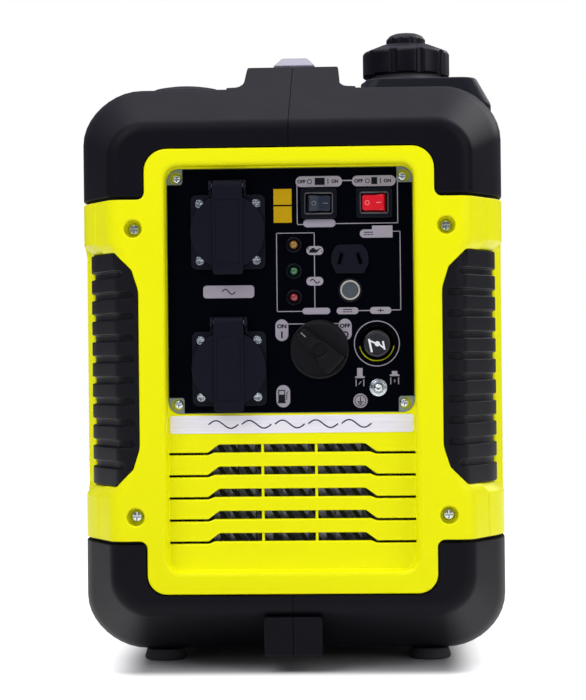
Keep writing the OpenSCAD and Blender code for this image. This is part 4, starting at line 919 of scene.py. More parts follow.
def grip_outline(gap):
    """Outline of the right-hand corner grip from the front, narrower by a gap all round."""
    x0, x1, z0, z1 = 101.5 + gap, 152, WAIST_Z[1] + gap, WAIST_Z[2] - gap
    return [
        (x1, z0, 0), (x0 + 16.5, z0, 3.5), (x0 + 4.4, z0 + 12, 5), (x0, z0 + 26, 20),
        (x0, z1 - 26, 20), (x0 + 4.4, z1 - 12, 5), (x0 + 16.5, z1, 3.5), (x1, z1, 0)]


def grip_opening(side):
    """Cutter for the opening that a corner grip fills, on the right or the left."""
    points = outline(grip_outline(0.0), 8)
    return prism("grip opening", "y", [(side * u, v) for u, v in points], AHEAD, -188)


def flared(name, shape, y, depth, flare):
    """Cutter along y whose mouth opens outwards in a small curve; shape(grow) gives its outline."""
    curve = [(0, 1), (0.06, 0.66), (0.2, 0.4), (0.45, 0.16), (1, 0)]
    rings = [(-1, flare)] + [(d * flare, grow * flare) for d, grow in curve] + [(depth, 0)]
    return loft(name, [[(u, y + d, v) for u, v in shape(grow)] for d, grow in rings])


def louvre_cutters():
    """Cutters for the five stepped slots across the recess."""
    cutters = []
    for i in range(5):
        z = SLAT_Z + i * SLAT_PITCH

        def slot(grow):
            low, high, end = z - 0.8 - 1.3 * grow, z + 0.8 + 0.5 * grow, RIM_X - 0.4
            step = z + 6.3 + 0.5 * grow
            right = [
                (52.6, low + 1.6, 2), (56.6, low, 2), (end, low, 0),
                (end, high, 0), (56.9, high, 2), (49.4, step, 3)]
            return outline(both_sides(right), 4)

        cutters.append(flared("slot", slot, RECESS_Y, 4, 1.3))
    return cutters


def slot_ribs():
    """Two upright ribs that stand back between the slats."""
    back, front = RECESS_Y + 2.9, RECESS_Y + 1.2
    ribs = []
    for x in (-19.9, 16.3):
        section = [(x - 1.0, back, 0), (x - 0.8, front, 0.4), (x + 0.8, front, 0.4), (x + 1.0, back, 0)]
        top = SLAT_Z + 4 * SLAT_PITCH + 7
        ribs.append(prism("rib", "z", outline(section, 3), RIM_Z[0] + 17, top))
    return ribs


def front_cover(edge):
    """The front cover, with the seat and window behind the control panel and the louvres under it."""
    body = frame_body("cover_front", edge)
    seat = rounded(around(0, 83.1), (173.8, 339.2), 8.4)
    combine(body, prism("plate seat", "y", seat, RECESS_Y - 1, RECESS_Y + 1.5))
    window = prism("window", "y", rounded(around(0, 78.9), (177, 336), 5), RECESS_Y, RECESS_Y + 4)
    for x, z in PLATE_SCREWS:
        combine(window, prism("lug", "y", disc(x, z, 7), RECESS_Y - 1, RECESS_Y + 5))
    combine(body, window)
    for cutter in louvre_cutters():
        combine(body, cutter)
    for rib in slot_ribs():
        combine(body, rib, "UNION")
    soften(body, 0)
    return complete(body, "casing", "body_yellow", "front_frame")


def rear_cover(edge):
    """The rear cover, open inside its rim for the rear panel."""
    body = frame_body("cover_rear", edge)
    window = rounded((6 - RIM_X, RIM_X - 6), (RIM_Z[0] + 6, RIM_Z[1] - 6), 4)
    combine(body, prism("rear window", "y", window, RECESS_Y - 1, RECESS_Y + 4))
    soften(flipped(body), 0)
    return complete(body, "casing", "body_yellow", "rear_frame")


def side_cover(side, edge):
    """A side's cover: cooling slots on both, the starter's pocket on the left, screws on the right."""
    name = "left" if side < 0 else "right"
    draw = WAIST + 2.6
    core = casing_form("core", BELT_T - 0.2, draw)
    piece = combine(casing_form("cover_side_" + name, 0, draw), core)
    reach = SEAM_Y - 0.3
    x = (120, 151) if side > 0 else (-151, -120)
    combine(piece, slab("reach", x, (-reach, reach), BELT), "INTERSECT")
    for end in (1, -1):
        opening = grip_opening(side)
        combine(piece, opening if end > 0 else flipped(opening))
    through = (139, 147) if side > 0 else (-147, -139)
    if side < 0:
        combine(piece, prism("pocket", "x", starter_outline(39.4, 16.4, 6.4), *through))
        lowest, y = 104, (-52, 72)
    else:
        lowest, y = 116, (30, 140)
        for at in SIDE_SCREWS:
            combine(piece, prism("screw well", "x", disc(*at, 5.5, 40), 142.4, 147))
            combine(piece, prism("screw hole", "x", disc(*at, 2.5, 24), 139, 147))
    soften(piece, edge, 3)
    for i in range(7):
        z = lowest + 12 * i
        combine(piece, prism("slot", "x", rounded(y, (z, z + 5), 2.4, 6), *through))
    soften(piece, 0)
    return complete(piece, "casing", "body_yellow", name + "_side_panel")


def corner_grips(edge):
    """One ribbed grip, mirrored to the other three corners."""
    grip = casing_form("grip", 0.35, WAIST)
    combine(grip, prism("reach", "y", outline(grip_outline(0.3), 8), AHEAD, -189.3), "INTERSECT")
    floor = casing_form("floor", 2.9, WAIST)
    half, deep, ends, count, pitch = 2.3, 3.4, 11, 10, 14.25
    for i in range(count):
        z = (WAIST_Z[1] + WAIST_Z[2]) / 2 + (i - (count - 1) / 2) * pitch
        x = 101.5 + (ends if i in (0, count - 1) else deep)
        section = outline([(x, z - half, 2.2), (150, z - half, 0), (150, z + half, 0), (x, z + half, 2.2)], 6)
        groove = prism("groove", "y", section, -252, -186)
        combine(groove, duplicate(floor, "floor copy"))
        combine(grip, groove)
    bpy.data.objects.remove(floor)
    soften(grip, edge, 3)
    combine(grip, casing_form("seat", BELT_T - 0.2, WAIST))
    soften(grip, 0)
    for end, y in (("front", 1), ("rear", -1)):
        for side, x in (("left", -1), ("right", 1)):
            piece = duplicate(grip, f"grip_{end}_{side}_ribbed")
            piece.scale = (x, y, 1)
            settle(piece)
            face_outwards(piece)
            soften(piece, 0)
            complete(piece, "casing", "grip_black", f"grip_{end}_{side}")
    bpy.data.objects.remove(grip)


# ---------------------------------------------------------------- handle, filler and covers on the top


def handle_insert():
    """The silver insert, rounded across and at its ends."""
    section = outline(both_sides([(15, 419, 0), (15, 423.4, 1.5), (9.0, 430, 3)]), 6)
    piece = prism("handle_insert", "y", section, -125, 125)
    profile = outline(both_sides([(-125, 419, 0), (-125, 424, 1.5), (-117.5, 430, 4)]), 6)
    combine(piece, prism("profile", "x", profile, -20, 20), "INTERSECT")
    soften(piece, 0.5, 2)
    complete(piece, "casing", "handle_silver", "handle_grip")


def filler():
    """Deck, neck, cap with its finger grooves, and vent knob."""
    refine("fuel_deck", name="filler_deck", width=1.6, segments=4, limit=28)
    refine("fuel_cap", name="cap_lobed", width=0.7, segments=3, limit=28)
    refine("vent_knob", name="vent_knob_ribbed", width=0.4, segments=3, limit=28)
    refine("filler_neck", name="neck", width=0.5)


def service_cover():
    """The round service cover with its coin slot."""
    x, y = SERVICE_AT
    profile = [
        (0, -6), (23, -6), (25.6, -4.5), (25.65, 0.3), (29.2, 0.3), (30, 1.0), (30, 2.8), (29.6, 3.7),
        (28.2, 5.7), (26.8, 6.9), (23.4, 8.3), (22.6, 8.5), (22.2, 8.3), (21.8, 8.3), (21.2, 8.8), (15, 9.9),
        (14.4, 9.9), (0, 10.4)]
    piece = upright("service_cover", SERVICE_AT, TOP, profile)
    combine(piece, slab("coin slot", around(x, 9), around(y, 1.3), (TOP + 7.8, TOP + 14)))
    soften(piece, 0.3, 2, limit=50)
    complete(piece, "plug_cover", "cover_black", "spark_plug_cover")


# ---------------------------------------------------------------- control panel


def joined(name, parts):
    """One piece from several, under a new name."""
    clear_selection()
    for part in parts:
        part.select_set(True)
    bpy.context.view_layer.objects.active = parts[0]
    bpy.ops.object.join()
    return named(name)


def ink(name, colour):
    """Printed ink of a linear colour."""
    return moulded(name, colour, 0.42, 0.4, 0.002, 0.04, 0.08, 0.0, **dull(0.15))


def flat(shape, layer):
    """Printed shape, one layer of ink thick, standing on the film."""
    step = bpy.context.scene.generator_sizes.print_height
    return prism("ink", "y", shape, FACE_Y - step * layer, FACE_Y - step * (layer - 1) + 0.01)


def along_x(x0, x1, z, thick=0.55):
    """Sides of a printed line that runs across."""
    return x0, x1, z, z + thick


def along_z(x, z0, z1, thick=0.55):
    """Sides of a printed line that runs up."""
    return x, x + thick, z0, z1


def box_shape(x0, x1, z0, z1, r=0.0):
    """Rectangle between four sides, with round corners if a radius is given."""
    return rounded((x0, x1), (z0, z1), r, 6) if r else [(x0, z0), (x1, z0), (x1, z1), (x0, z1)]


def boxes(rows, layer=2):
    """Printed rectangles, each given by its sides."""
    return [flat(box_shape(*sides), layer) for sides in rows]


def wave(x, z, length, height, width, steps=24):
    """Outline of one period of a wave, drawn as a line that starts at a place."""
    turns = [(i / steps, math.tau * i / steps) for i in range(steps + 1)]
    return stroke([(x + length * share, z + height * math.sin(turn)) for share, turn in turns], width)


def stroke(points, width):
    """Outline of a line of one width through points, with square ends."""
    left, right = [], []
    for i, p in enumerate(points):
        a, b = Vector(points[max(i - 1, 0)]), Vector(points[min(i + 1, len(points) - 1)])
        way = (b - a).normalized()
        side = Vector((-way.y, way.x)) * width / 2
        left.append(tuple(Vector(p) + side))
        right.append(tuple(Vector(p) - side))
    return left + right[::-1]


def ring_shape(cu, cv, r, width, layer, steps=56):
    """Printed ring."""
    hole = prism("hole", "y", disc(cu, cv, r - width, steps), FACE_Y - 2, FACE_Y + 2)
    return combine(flat(disc(cu, cv, r, steps), layer), hole)


def words(body, x0, x1, z, height, layer=2):
    """Flat lettering between two distances across, standing on a height."""
    clear_selection()
    bpy.ops.object.text_add()
    text = bpy.context.object
    text.data.body = body
    text.data.size = 1.0
    text.data.offset = 0.045
    text.data.extrude = 0.5
    text.data.resolution_u = 4
    bpy.ops.object.convert(target="MESH")
    piece = bpy.context.object
    low = [min(v.co[i] for v in piece.data.vertices) for i in range(3)]
    high = [max(v.co[i] for v in piece.data.vertices) for i in range(3)]
    step = bpy.context.scene.generator_sizes.print_height
    for vert in piece.data.vertices:
        u, v, w = ((vert.co[i] - low[i]) / (high[i] - low[i]) for i in range(3))
        y = FACE_Y - step * (layer - 1 + w) + 0.01 * (1 - w)
        vert.co = Vector((x0 + (x1 - x0) * u, y, z + height * v)) * MM
    return piece


def choke_sign(x, z, tall):
    """Sign of the choke's knob, pulled out if it is tall and pushed in if not, over its open or shut flap."""
    parts = [flat(box_shape(x - 3.2, x + 3.2, z, z + 1.2, 0.3), 1)]
    parts += boxes([(x - 1.85, x + 1.85, z + 1.15, z + 1.15 + tall)], 1)
    parts += boxes([(x + dx - 0.3, x + dx + 0.3, z - 5.5, z - 0.9) for dx in (-2.6, 2.6)], 1)
    lean = 1.0 if tall > 3 else 0.05
    parts.append(flat(stroke([(x - lean, z - 4.3), (x + lean, z - 2.1)], 0.45), 1))
    parts.append(flat(disc(x, z - 3.2, 0.5, 16), 1))
    return parts


def direct_sign(x, z):
    """Sign of direct current: a bar over three dashes."""
    dashes = [(x + 2.2 * i, x + 1.6 + 2.2 * i, z, z + 0.6) for i in range(3)]
    return boxes([(x, x + 6, z + 1.6, z + 2.2), *dashes])


def grey_print():
    """Labels, connecting lines and the choke's signs."""
    labels = (
        (4.3, 35.6, 325.8, 333), (42.2, 71.5, 325.8, 333), (9.2, 30.9, 298.7, 304), (11.1, 22.5, 280.1, 286),
        (10.9, 22.3, 259.5, 265.3), (8, 26.7, 240.2, 244.5), (31, 45.7, 240, 244.6),
        (53.4, 67.8, 240, 244.6), (-10.3, -1.6, 222.4, 237), (32.2, 41, 222.4, 237),
        (-10.1, -0.8, 177.8, 192.8))
    parts = [flat(box_shape(*row, min(row[1] - row[0], row[3] - row[2]) / 2 - 0.02), 1) for row in labels]
    parts.append(flat(box_shape(-58.7, -24.3, 251.7, 260.2, 2.2), 1))
    stepped = [
        (47.2, 291.2, 2.7), (69.1, 291.2, 0), (69.1, 299.3, 0), (55.4, 299.3, 0), (55.4, 296.8, 0),
        (47.2, 296.8, 2.7)]
    parts.append(flat(outline(stepped, 5), 1))
    parts += boxes((
        along_z(4.9, 300.4, 327), along_x(4.9, 9.4, 300.4), along_x(30.6, 73, 300.7),
        along_z(72.4, 300.7, 330.6), along_x(71.3, 72.6, 330.1), along_x(35.4, 42.4, 329.5, 0.75),
        along_z(-9.2, 242, 295.2), along_x(-9.2, 16.7, 294.7, 0.5), along_z(16.2, 286, 295.2),
        along_z(16.2, 265, 280.2), along_z(16.2, 244.4, 259.6), along_x(-9.2, 8.1, 242),
        along_x(45.5, 53.6, 242, 0.6), along_x(67.6, 74.3, 242.2, 0.6), along_z(73.8, 242.2, 295.6),
        along_x(69, 74.3, 295.1, 0.5), along_x(-1.8, 32.4, 233.5, 0.65)), 1)
    parts.append(ring_shape(*CHOKE_AT, 15.4, 0.6, 1, 72))
    parts.append(flat(disc(46.4, 181.8, 4.8), 1))
    return parts + choke_sign(46.2, 197.0, 5.6) + choke_sign(69.5, 198.1, 2.3)


def dark_print():
    """Lettering and signs on the labels: switches, knob, currents, oil, fuel and earth."""
    parts = [
        words("OFF", 5.4, 11, 328.2, 2.5), words("ON", 28.4, 33, 328.2, 2.5),
        words("OFF", 43.8, 49.6, 328.2, 2.5), words("ON", 63.6, 68.4, 328.2, 2.5)]
    parts += boxes((
        (17.2, 23.9, 327.1, 331.9), (55.2, 59.2, 327.1, 331.9), (25.8, 26.4, 327.6, 331.2),
        (61, 61.6, 327.6, 331.2)))
    parts += [ring_shape(13.7, 329.4, 1.7, 0.5, 2, 24), ring_shape(52.6, 329.4, 1.6, 0.5, 2, 24)]
    parts += [words("ON", -9.2, -2.8, 230.9, 2.9), *boxes([(-6.5, -5.4, 224.3, 228.9)])]
    parts += [words("OFF", 32.9, 40.2, 230.9, 2.8), ring_shape(36.8, 226.4, 2.2, 0.9, 2, 28)]
    parts += [flat(wave(-46, 256, 9, 1.7, 0.7), 2), flat(wave(13.4, 262.4, 6.4, 1.3, 0.7), 2)]
    parts += direct_sign(50, 293) + direct_sign(35.4, 241.3)
    parts += boxes(((58.2, 63, 242, 242.6), (60.3, 60.9, 240.9, 243.7)))
    can = [
        (-3.6, -1.3), (1.6, -1.3), (3.6, 0.9), (4.7, 1.5), (4.5, 1.9), (3.2, 1.5), (1.5, 0.5), (0.9, 1.0),
        (-2.9, 1.0)]
    for shape in (moved(can, 16.4, 282.9), moved(box_shape(-1.9, 0.3, 1.0, 1.9), 16.4, 282.9)):
        parts.append(flat(shape, 2))
    parts.append(flat(disc(21.4, 282.6, 0.42, 14), 2))
    parts.append(flat(stroke([(12.8, 283.6), (11.9, 284.6), (12.9, 285.1)], 0.5), 2))
    hose = [(-4, 183), (-3.1, 183), (-3.1, 187.2), (-2.1, 188.6)]
    parts += [*boxes([(-8.8, -4.2, 181.2, 189.5)]), flat(stroke(hose, 0.5), 2)]
    parts += boxes([(-9.3, -3.7, 180.6, 181.3)])
    parts.append(ring_shape(46.4, 181.8, 3.9, 0.5, 2, 40))
    parts += boxes([(46.1, 46.7, 181.2, 184.4)])
    for half, z in ((2.2, 180.8), (1.5, 179.9), (0.7, 179)):
        parts += boxes([along_x(46.4 - half, 46.4 + half, z)])
    return parts


def panel_print():
    """Lines, labels, signs and the two plain squares printed on the film."""
    tone = bpy.context.scene.generator_colours
    grey_parts = grey_print()
    amber_parts = boxes(((-10.7, 1.5, 314.1, 324.7), (-10.7, 1.5, 302, 313)), 1)
    dark_parts = dark_print()
    grey_parts += boxes([(-8.2, -4.8, 186.4, 188.8)], 3)
    for shade, parts, colour in (
        ("grey", grey_parts, tuple(tone.print_grey)),
        ("dark", dark_parts, linear(6, 7, 14)),
        ("amber", amber_parts, tuple(tone.amber)),
    ):
        printed = ink(f"Panel Print {shade.title()}", colour)
        complete(joined("panel_print_" + shade, parts), "casing", "panel_print", material=printed)


def strip_print():
    """Silver strip with a plain run of waves."""
    piece = prism("strip_silver", "y", rounded(around(0, 82.1), (160.6, 172.6), 2), RECESS_Y - 0.6, RECESS_Y)
    soften(piece, 0.15, 2)
    complete(piece, "casing", "strip_silver", "name_strip")
    shapes = [wave(-56 + 22.4 * i, 166.6, 20, 2.6, 0.9, 40) for i in range(5)]
    waves = [prism("wave", "y", shape, RECESS_Y - 0.66, RECESS_Y - 0.59) for shape in shapes]
    strip_ink = ink("Strip Ink", linear(30, 30, 58))
    complete(joined("strip_waves", waves), "casing", "panel_print", material=strip_ink)


def lamps():
    """Three lenses in their black bezels."""
    r, foot, tall = 2.75, 1.2, 2.5
    slopes = [math.radians(10 * i) for i in range(1, 9)]
    dome = [(0, -3), (r, -3), (r, foot)]
    dome += [(r * math.cos(slope), foot + tall * math.sin(slope)) for slope in slopes] + [(0, foot + tall)]
    cup = [
        (2.78, -3), (4.2, -3), (4.2, 0), (5.5, 0), (5.5, 0.8), (5.2, 1.35), (4.7, 1.6), (4.3, 1.5),
        (3.9, 0.9), (3.0, 0.2), (2.78, 0.1)]
    notches = 12
    bezels = []
    for lamp, slot in (
        ("oil_lamp", "lens_amber"), ("output_lamp", "lens_green"), ("overload_lamp", "lens_red"),
    ):
        at = middle(lamp, 0, 2)
        lens = turned(lamp + "_lens", at, FACE_Y, dome, 40)
        soften(lens, 0)
        complete(lens, "casing", slot, lamp)
        bezel = loft_ring("bezel", at, cup, 40)
        for k in range(notches):
            a = math.tau * k / notches
            notch = slab("notch", (-0.35, 0.35), (-1.3, 1.3), (-1, 1))
            notch.rotation_euler = (0, a, 0)
            notch.location = Vector((at[0] + 5.4 * math.sin(a), FACE_Y - 1.3, at[1] + 5.4 * math.cos(a))) * MM
            combine(bezel, settle(notch))
        bezels.append(bezel)
    piece = joined("lamp_bezels", bezels)
    soften(piece, 0)
    complete(piece, "casing", "switch_black")


def loft_ring(name, at, profile, steps=64):
    """Ring turned about an axis out of the panel, from a closed profile of (radius, distance)."""
    clear_selection()
    bpy.ops.mesh.primitive_circle_add(vertices=len(profile), fill_type="NOTHING")
    piece = named(name)
    for vert, (r, d) in zip(piece.data.vertices, profile):
        vert.co = Vector((at[0] + r, FACE_Y - d, at[1])) * MM
    bpy.ops.object.mode_set(mode="EDIT")
    bpy.ops.mesh.select_all(action="SELECT")
    bpy.ops.mesh.spin(steps=steps, angle=math.tau, center=Vector((at[0], 0, at[1])) * MM, axis=(0, 1, 0))
    bpy.ops.mesh.select_all(action="SELECT")
    bpy.ops.mesh.remove_doubles(threshold=0.002 * MM)
    bpy.ops.object.mode_set(mode="OBJECT")
    face_outwards(piece)
    return piece


def fuel_knob():
    """Large knob with its flared bar, the hollow in its middle and its pointer line."""
    at = middle("fuel_knob", 0, 2)
    base, top = FACE_Y - 0.75, FRONT + 0.75
    rim = [
        (0, 0), (20, 0), (20, 2.4), (19.8, 3.1), (19.3, 3.6), (18.6, 3.8), (18.0, 3.6), (16.5, 3.4), (0, 3.2)]
    knob = turned("fuel_knob_flared", at, base, rim, 96)
    reach, tip, root = 19.0, 4.4, 8.6
    turn = math.radians(-43)

    def placed(u, v):
        return (
            at[0] + u * math.cos(turn) - v * math.sin(turn),
            at[1] + u * math.sin(turn) + v * math.cos(turn))

    bar = outline([
        (-reach * 0.97, -tip, 2.2), (reach * 0.9, -root, 1.5), (reach * 0.9, root, 1.5),
        (-reach * 0.97, tip, 2.2)], 6)
    bar = [placed(u, v) for u, v in bar]

    def drawn(size):
        return [(at[0] + (u - at[0]) * size, at[1] + (v - at[1]) * size) for u, v in bar]

    stations = ((base - 1, 1.0), (base - 4, 1.0), (top + 1.2, 0.955), (top + 0.35, 0.93), (top, 0.885))
    grip = loft("bar", [[(u, y, v) for u, v in drawn(size)] for y, size in stations])
    combine(grip, prism("round", "y", disc(*at, 19.6, 96), -252, -236), "INTERSECT")
    combine(knob, grip, "UNION")
    hollow = [(5.6, 1), (5.5, 0), (5.1, -0.5), (5.1, -2.75), (0, -2.75)]
    combine(knob, turned("hollow", at, top, hollow, 48))
    soften(knob, 0.35, 2, limit=30)
    plastic = moulded("Knob Plastic", linear(7, 8, 13), 0.4, 0.9, 0.02, 0.2, 0.12, 0.01, **dull(0.16))
    complete(knob, "knob", "socket_black", "fuel_knob", material=plastic)
    line = stroke([placed(-16.6, 0), placed(-12.2, 0)], 0.5)
    pointer = prism("knob_pointer", "y", line, top - 0.05, top + 0.2)
    complete(pointer, "knob", "panel_print", material=ink("Pointer Ink", linear(150, 150, 155)))


def choke_knob():
    """The choke's button on its stem, with a flap for a sign, in its tube."""
    at = CHOKE_AT
    profile = [
        (0, -8), (9.1, -8), (9.1, 3.2), (8.95, 3.9), (8.5, 4.4), (7.9, 4.6), (7.2, 4.55), (6.9, 4.35),
        (0, 4.3)]
    button = turned("choke_button", at, FACE_Y, profile, 72)
    stem = turned("stem", at, FACE_Y, [(0, -42), (4, -42), (4, -7.9), (0, -7.9)], 32)
    combine(button, stem, "UNION")
    soften(button, 0, limit=30)
    plastic = moulded("Choke Plastic", linear(16, 18, 26), 0.3, 0.8, 0.01, 0.15, 0.1, 0.03, **dull(0.5))
    complete(button, "choke", "socket_black", "choke_knob", material=plastic)
    front = FACE_Y - 4.3
    flap = [
        stroke([(-5.3, 3.1), (-3.4, -5.9)], 1.35), stroke([(4.0, 1.6), (5.2, -4.2)], 1.2),
        stroke([(-4.4, 1.8), (-1.4, 0.4), (1.8, -0.8), (4.6, -3.0)], 1.1), disc(0.3, -0.2, 1.75, 28)]
    parts = [
        prism("flap", "y", moved(shape, *at), front - 0.06 - 0.01 * i, front + 0.1)
        for i, shape in enumerate(flap)]
    symbol_ink = ink("Symbol Ink", linear(232, 232, 236))
    complete(joined("choke_symbol", parts), "choke", "panel_print", material=symbol_ink)
    crescent = arc(*at, 13, 188, 352, 40) + arc(*at, 11.25, 352, 188, 40)
    lip = prism("choke_tube_lip", "y", crescent, FACE_Y + 1.95, FACE_Y + 15)
    complete(lip, "casing", "body_yellow")
    wall = [(11.95, -2.1), (13.4, -2.1), (13.4, -17), (9.5, -17), (9.5, -15.2), (11.95, -15.2)]
    tube = loft_ring("choke_tube", at, wall, 56)
    soften(tube, 0)
    complete(tube, "casing", "grille_black")


def tipped(piece, tilt, place):
    """Turns a piece that was drawn level to its tilt, and puts it in its place."""
    piece.rotation_euler = (0, 0, math.radians(tilt))
    piece.location = Vector(place) * MM
    return settle(piece)


def switch_lips(kind, x, z):
    """Raised edges of a switch's bezel, in a lighter grey that paints a highlight along them."""
    level = [(7.5, 2.55), (7.0, 3.0), (6.45, 2.6), (6.4, 1.4), (7.5, 1.4)]
    standing = [(9.7, 2.55), (9.2, 2.9), (8.7, 2.4), (8.7, 1.4), (9.7, 1.4)]
    lips = []
    for side in (1, -1):
        section = [(FACE_Y - d, z + side * out) for out, d in level]
        lips.append(prism("lip", "x", section, *around(x, 8.8)))
    for side in (1, -1):
        section = [(x + side * out, FACE_Y - d) for out, d in standing]
        lips.append(prism("lip", "z", section, *around(z, 6.6)))
    lip = joined(kind + "_switch_lips", lips)
    soften(lip, 0)
    # Lighter grey than the bezel: a painted highlight on the raised lips.
    edge = moulded(kind.title() + " Bezel Edge", linear(62, 60, 68), 0.3, 0.6, 0.004, 0.1, 0.1, 0.0)
    complete(lip, "casing", "switch_black", material=edge)


def rocker_marks(kind):
    """Ring and line on the two slopes of a level rocker."""
    fall, run, crest = 1.2, 7.2, -3.83
    marks = []
    for dx, side in ((-3.9, -1), (3.9, 1)):
        shape = box_shape(-1.7, 1.7, -0.22, 0.22) if side > 0 else disc(0, 0, 1.55, 28)
        mark = prism("mark", "y", shape, -0.05, 0.1)
        if side < 0:
            combine(mark, prism("hole", "y", disc(0, 0, 1.2, 28), -1, 1))
        mark.rotation_euler = (0, 0, -side * math.atan2(fall, run))
        mark.location = Vector((dx, crest - fall * abs(dx) / run, 0)) * MM
        marks.append(settle(mark))
    return joined(kind + "_rocker_marks", marks)


def switches():
    """Two rocker switches with sloping bezels and marked rockers."""
    shape = (
        (3.4, 4.9, 6.2, 0.5), (0.0, 7.8, 6.2, 0.5), (-1.4, 7.8, 6.2, 0.6), (-2.2, 7.45, 5.6, 1.0),
        (-4.4, 7.25, 5.2, 1.4), (-5.4, 7.1, 5.0, 1.4))
    crown = outline([
        (-8.4, 4, 0), (-8.4, -4.9, 0), (-7.2, -5.0, 0.8), (0, -3.8, 9), (7.2, -5.0, 0.8), (8.4, -4.9, 0),
        (8.4, 4, 0)], 8)
    pin_y = FACE_Y + 1.4
    for kind, tilt, slot, mark_colour in (
        ("econ", 9, "rocker_black", (112, 118, 130)),
        ("engine", -9, "rocker_red", (225, 150, 155)),
    ):
        x, z = middle(kind + "_switch_body", 0, 2)
        refine(kind + "_switch_body", name=kind + "_switch_housing", width=0.5, segments=3)
        switch_lips(kind, x, z)
        rings = [[(u, y, v) for u, v in rounded(around(0, w), around(0, h), r, 5)] for y, w, h, r in shape]
        rocker = loft(kind + "_rocker_shaped", rings)
        combine(rocker, prism("crown", "z", crown, -8, 8), "INTERSECT")
        soften(rocker, 0.45, 3, limit=30)
        complete(tipped(rocker, tilt, (x, pin_y, z)), kind + "_key", slot, kind + "_rocker")
        marks = tipped(rocker_marks(kind), tilt, (x, pin_y, z))
        mark_ink = ink(kind.title() + " Mark Ink", linear(*mark_colour))
        complete(marks, kind + "_key", "panel_print", material=mark_ink)


def low_voltage_outlet():
    """Flat-topped outlet face with two leaning blade slots."""
    at = middle("dc_socket", 0, 2)
    w, h = 12.65, 9.7
    face = prism("dc_outlet", "y", disc(*at, w, 72), FACE_Y - 3, FACE_Y + 0.02)
    flats = box_shape(*around(at[0], 20), *around(at[1], h))
    combine(face, prism("flats", "y", flats, -260, -200), "INTERSECT")
    foot = [(-0.75 * w, -h), (0.75 * w, -h), (0.96 * w, -0.35 * h), (-0.96 * w, -0.35 * h)]
    combine(face, prism("foot", "y", moved(foot, *at), FACE_Y - 3, FACE_Y + 0.02), "UNION")
    body = rounded(around(at[0], 11), around(at[1], 8), 5)
    combine(face, prism("body", "y", body, FACE_Y - 1, FACE_Y + 22), "UNION")
    soften(face, 0.7, 4)
    blade = ((-4, 1.0, 3.7), (12, 1.0, 3.7))
    mouth = ((-4, 2.6, 4.9), (-2.4, 1.4, 4.1))
    for side in (-1, 1):
        for rings in (blade, mouth):
            rings = [[(u, y, v) for u, v in rounded(around(0, a), around(0, b), 0.3, 2)] for y, a, b in rings]
            slot = loft("slot", rings)
            slot.rotation_euler = (0, math.radians(-17 * side), 0)
            slot.location = Vector((at[0] + 6.3 * side, FACE_Y, at[1] + 0.3)) * MM
            combine(face, settle(slot))
    soften(face, 0)
    complete(face, "casing", "socket_black", "dc_socket")


def mains_socket(place, z):
    """One mains socket and its lid, with a groove round the lid's face; z is the height of its middle."""
    refine(f"socket_{place}_body", name=f"socket_{place}_housing", width=0.45, segments=3)
    lid = refined(f"socket_{place}_lid", name=f"socket_{place}_flap", width=0.6, segments=3)
    x = middle(f"socket_{place}_lid", 0)[0]
    flange, gap, skirt, crown = 3.5, 0.35, 4.8, 1.8
    front = FACE_Y - flange - gap - skirt - crown
    outer = rounded(around(x, 8.0), (z - 21.9, z + 21.4), 1.3)
    inner = rounded(around(x, 7.6), (z - 21.5, z + 21), 1)
    groove = prism("groove", "y", outer, front - 1, front + 0.35)
    combine(groove, prism("inner", "y", inner, front - 2, front + 2))
    combine(lid, groove)
    soften(lid, 0)
    complete(lid, f"{place}_lid", "socket_black", f"socket_{place}_lid")


def reset_button():
    """The breaker's ring, and its button with a bright rim."""
    at = middle("breaker_body", 0, 2)
    collar = [
        (6.9, -2), (7.7, -2), (7.7, 0), (8.2, 0), (8.2, 1.6), (7.9, 2.2), (7.3, 2.4), (6.95, 2.2), (6.9, 1.6)]
    ring = loft_ring("breaker_ring", at, collar, 64)
    soften(ring, 0)
    complete(ring, "casing", "switch_black", "breaker_body")
    r = 6.75
    cap = [
        (0, -9), (r, -9), (r, 3.3), (6.6, 3.8), (6.2, 4.0), (5.75, 4.0), (5.45, 3.75), (5.3, 3.4), (4.9, 3.3),
        (0, 3.45)]
    button = turned("reset_button_cap", at, FACE_Y, cap, 64)
    soften(button, 0, limit=50)
    complete(button, "reset_button", "button_clear", "breaker_button")
    edge = [(5.5, 3.78), (6.7, 3.2), (6.72, 3.6), (6.5, 4.02), (6.1, 4.16), (5.7, 4.1)]
    rim = loft_ring("reset_button_rim", at, edge, 64)
    soften(rim, 0)
    bright = moulded("Button Rim", linear(176, 172, 164), 0.2, 0.8, 0.004, 0.05, 0.1, 0.0, Coat_Weight=0.5)
    complete(rim, "reset_button", "button_clear", material=bright)


def outlets():
    """Mains sockets with their lids, the low-voltage outlet and its reset button."""
    mains_socket("upper", 296.0)
    mains_socket("lower", 204.2)
    low_voltage_outlet()
    reset_button()


def earth_bolt():
    """Stud with its washer, its nut in front and its nut behind the plate."""
    at = (58.5, 190.5)
    bolt = turned("ground_bolt", at, FACE_Y, [(0, 0), (5.9, 0), (5.9, 0.7), (5.6, 1.0), (0, 1.0)], 48)
    crown = [
        (0, 0), (5.15, 0), (5.15, 3.0), (4.4, 3.7), (4.15, 3.75), (3.9, 3.4), (3.75, 2.6), (0, 2.6)]
    nut = turned("nut", at, FACE_Y - 0.98, crown, 48)
    combine(nut, prism("hexagon", "y", disc(*at, 5.45, 6), FACE_Y - 6, FACE_Y - 0.5), "INTERSECT")
    end = [(0, -8), (2.9, -8), (2.9, 6.9), (2.5, 7.7), (1.6, 8.4), (1.2, 8.2), (0, 8.1)]
    for part in (nut, turned("stud", at, FACE_Y, end, 40)):
        combine(bolt, part, "UNION")
    back = prism("back nut", "y", disc(*at, 5.6, 6), RECESS_Y + 1.5, RECESS_Y + 5.5)
    combine(bolt, back, "UNION")
    soften(bolt, 0.25, 2, limit=25)
    complete(bolt, "casing", "zinc_steel", "ground_terminal")


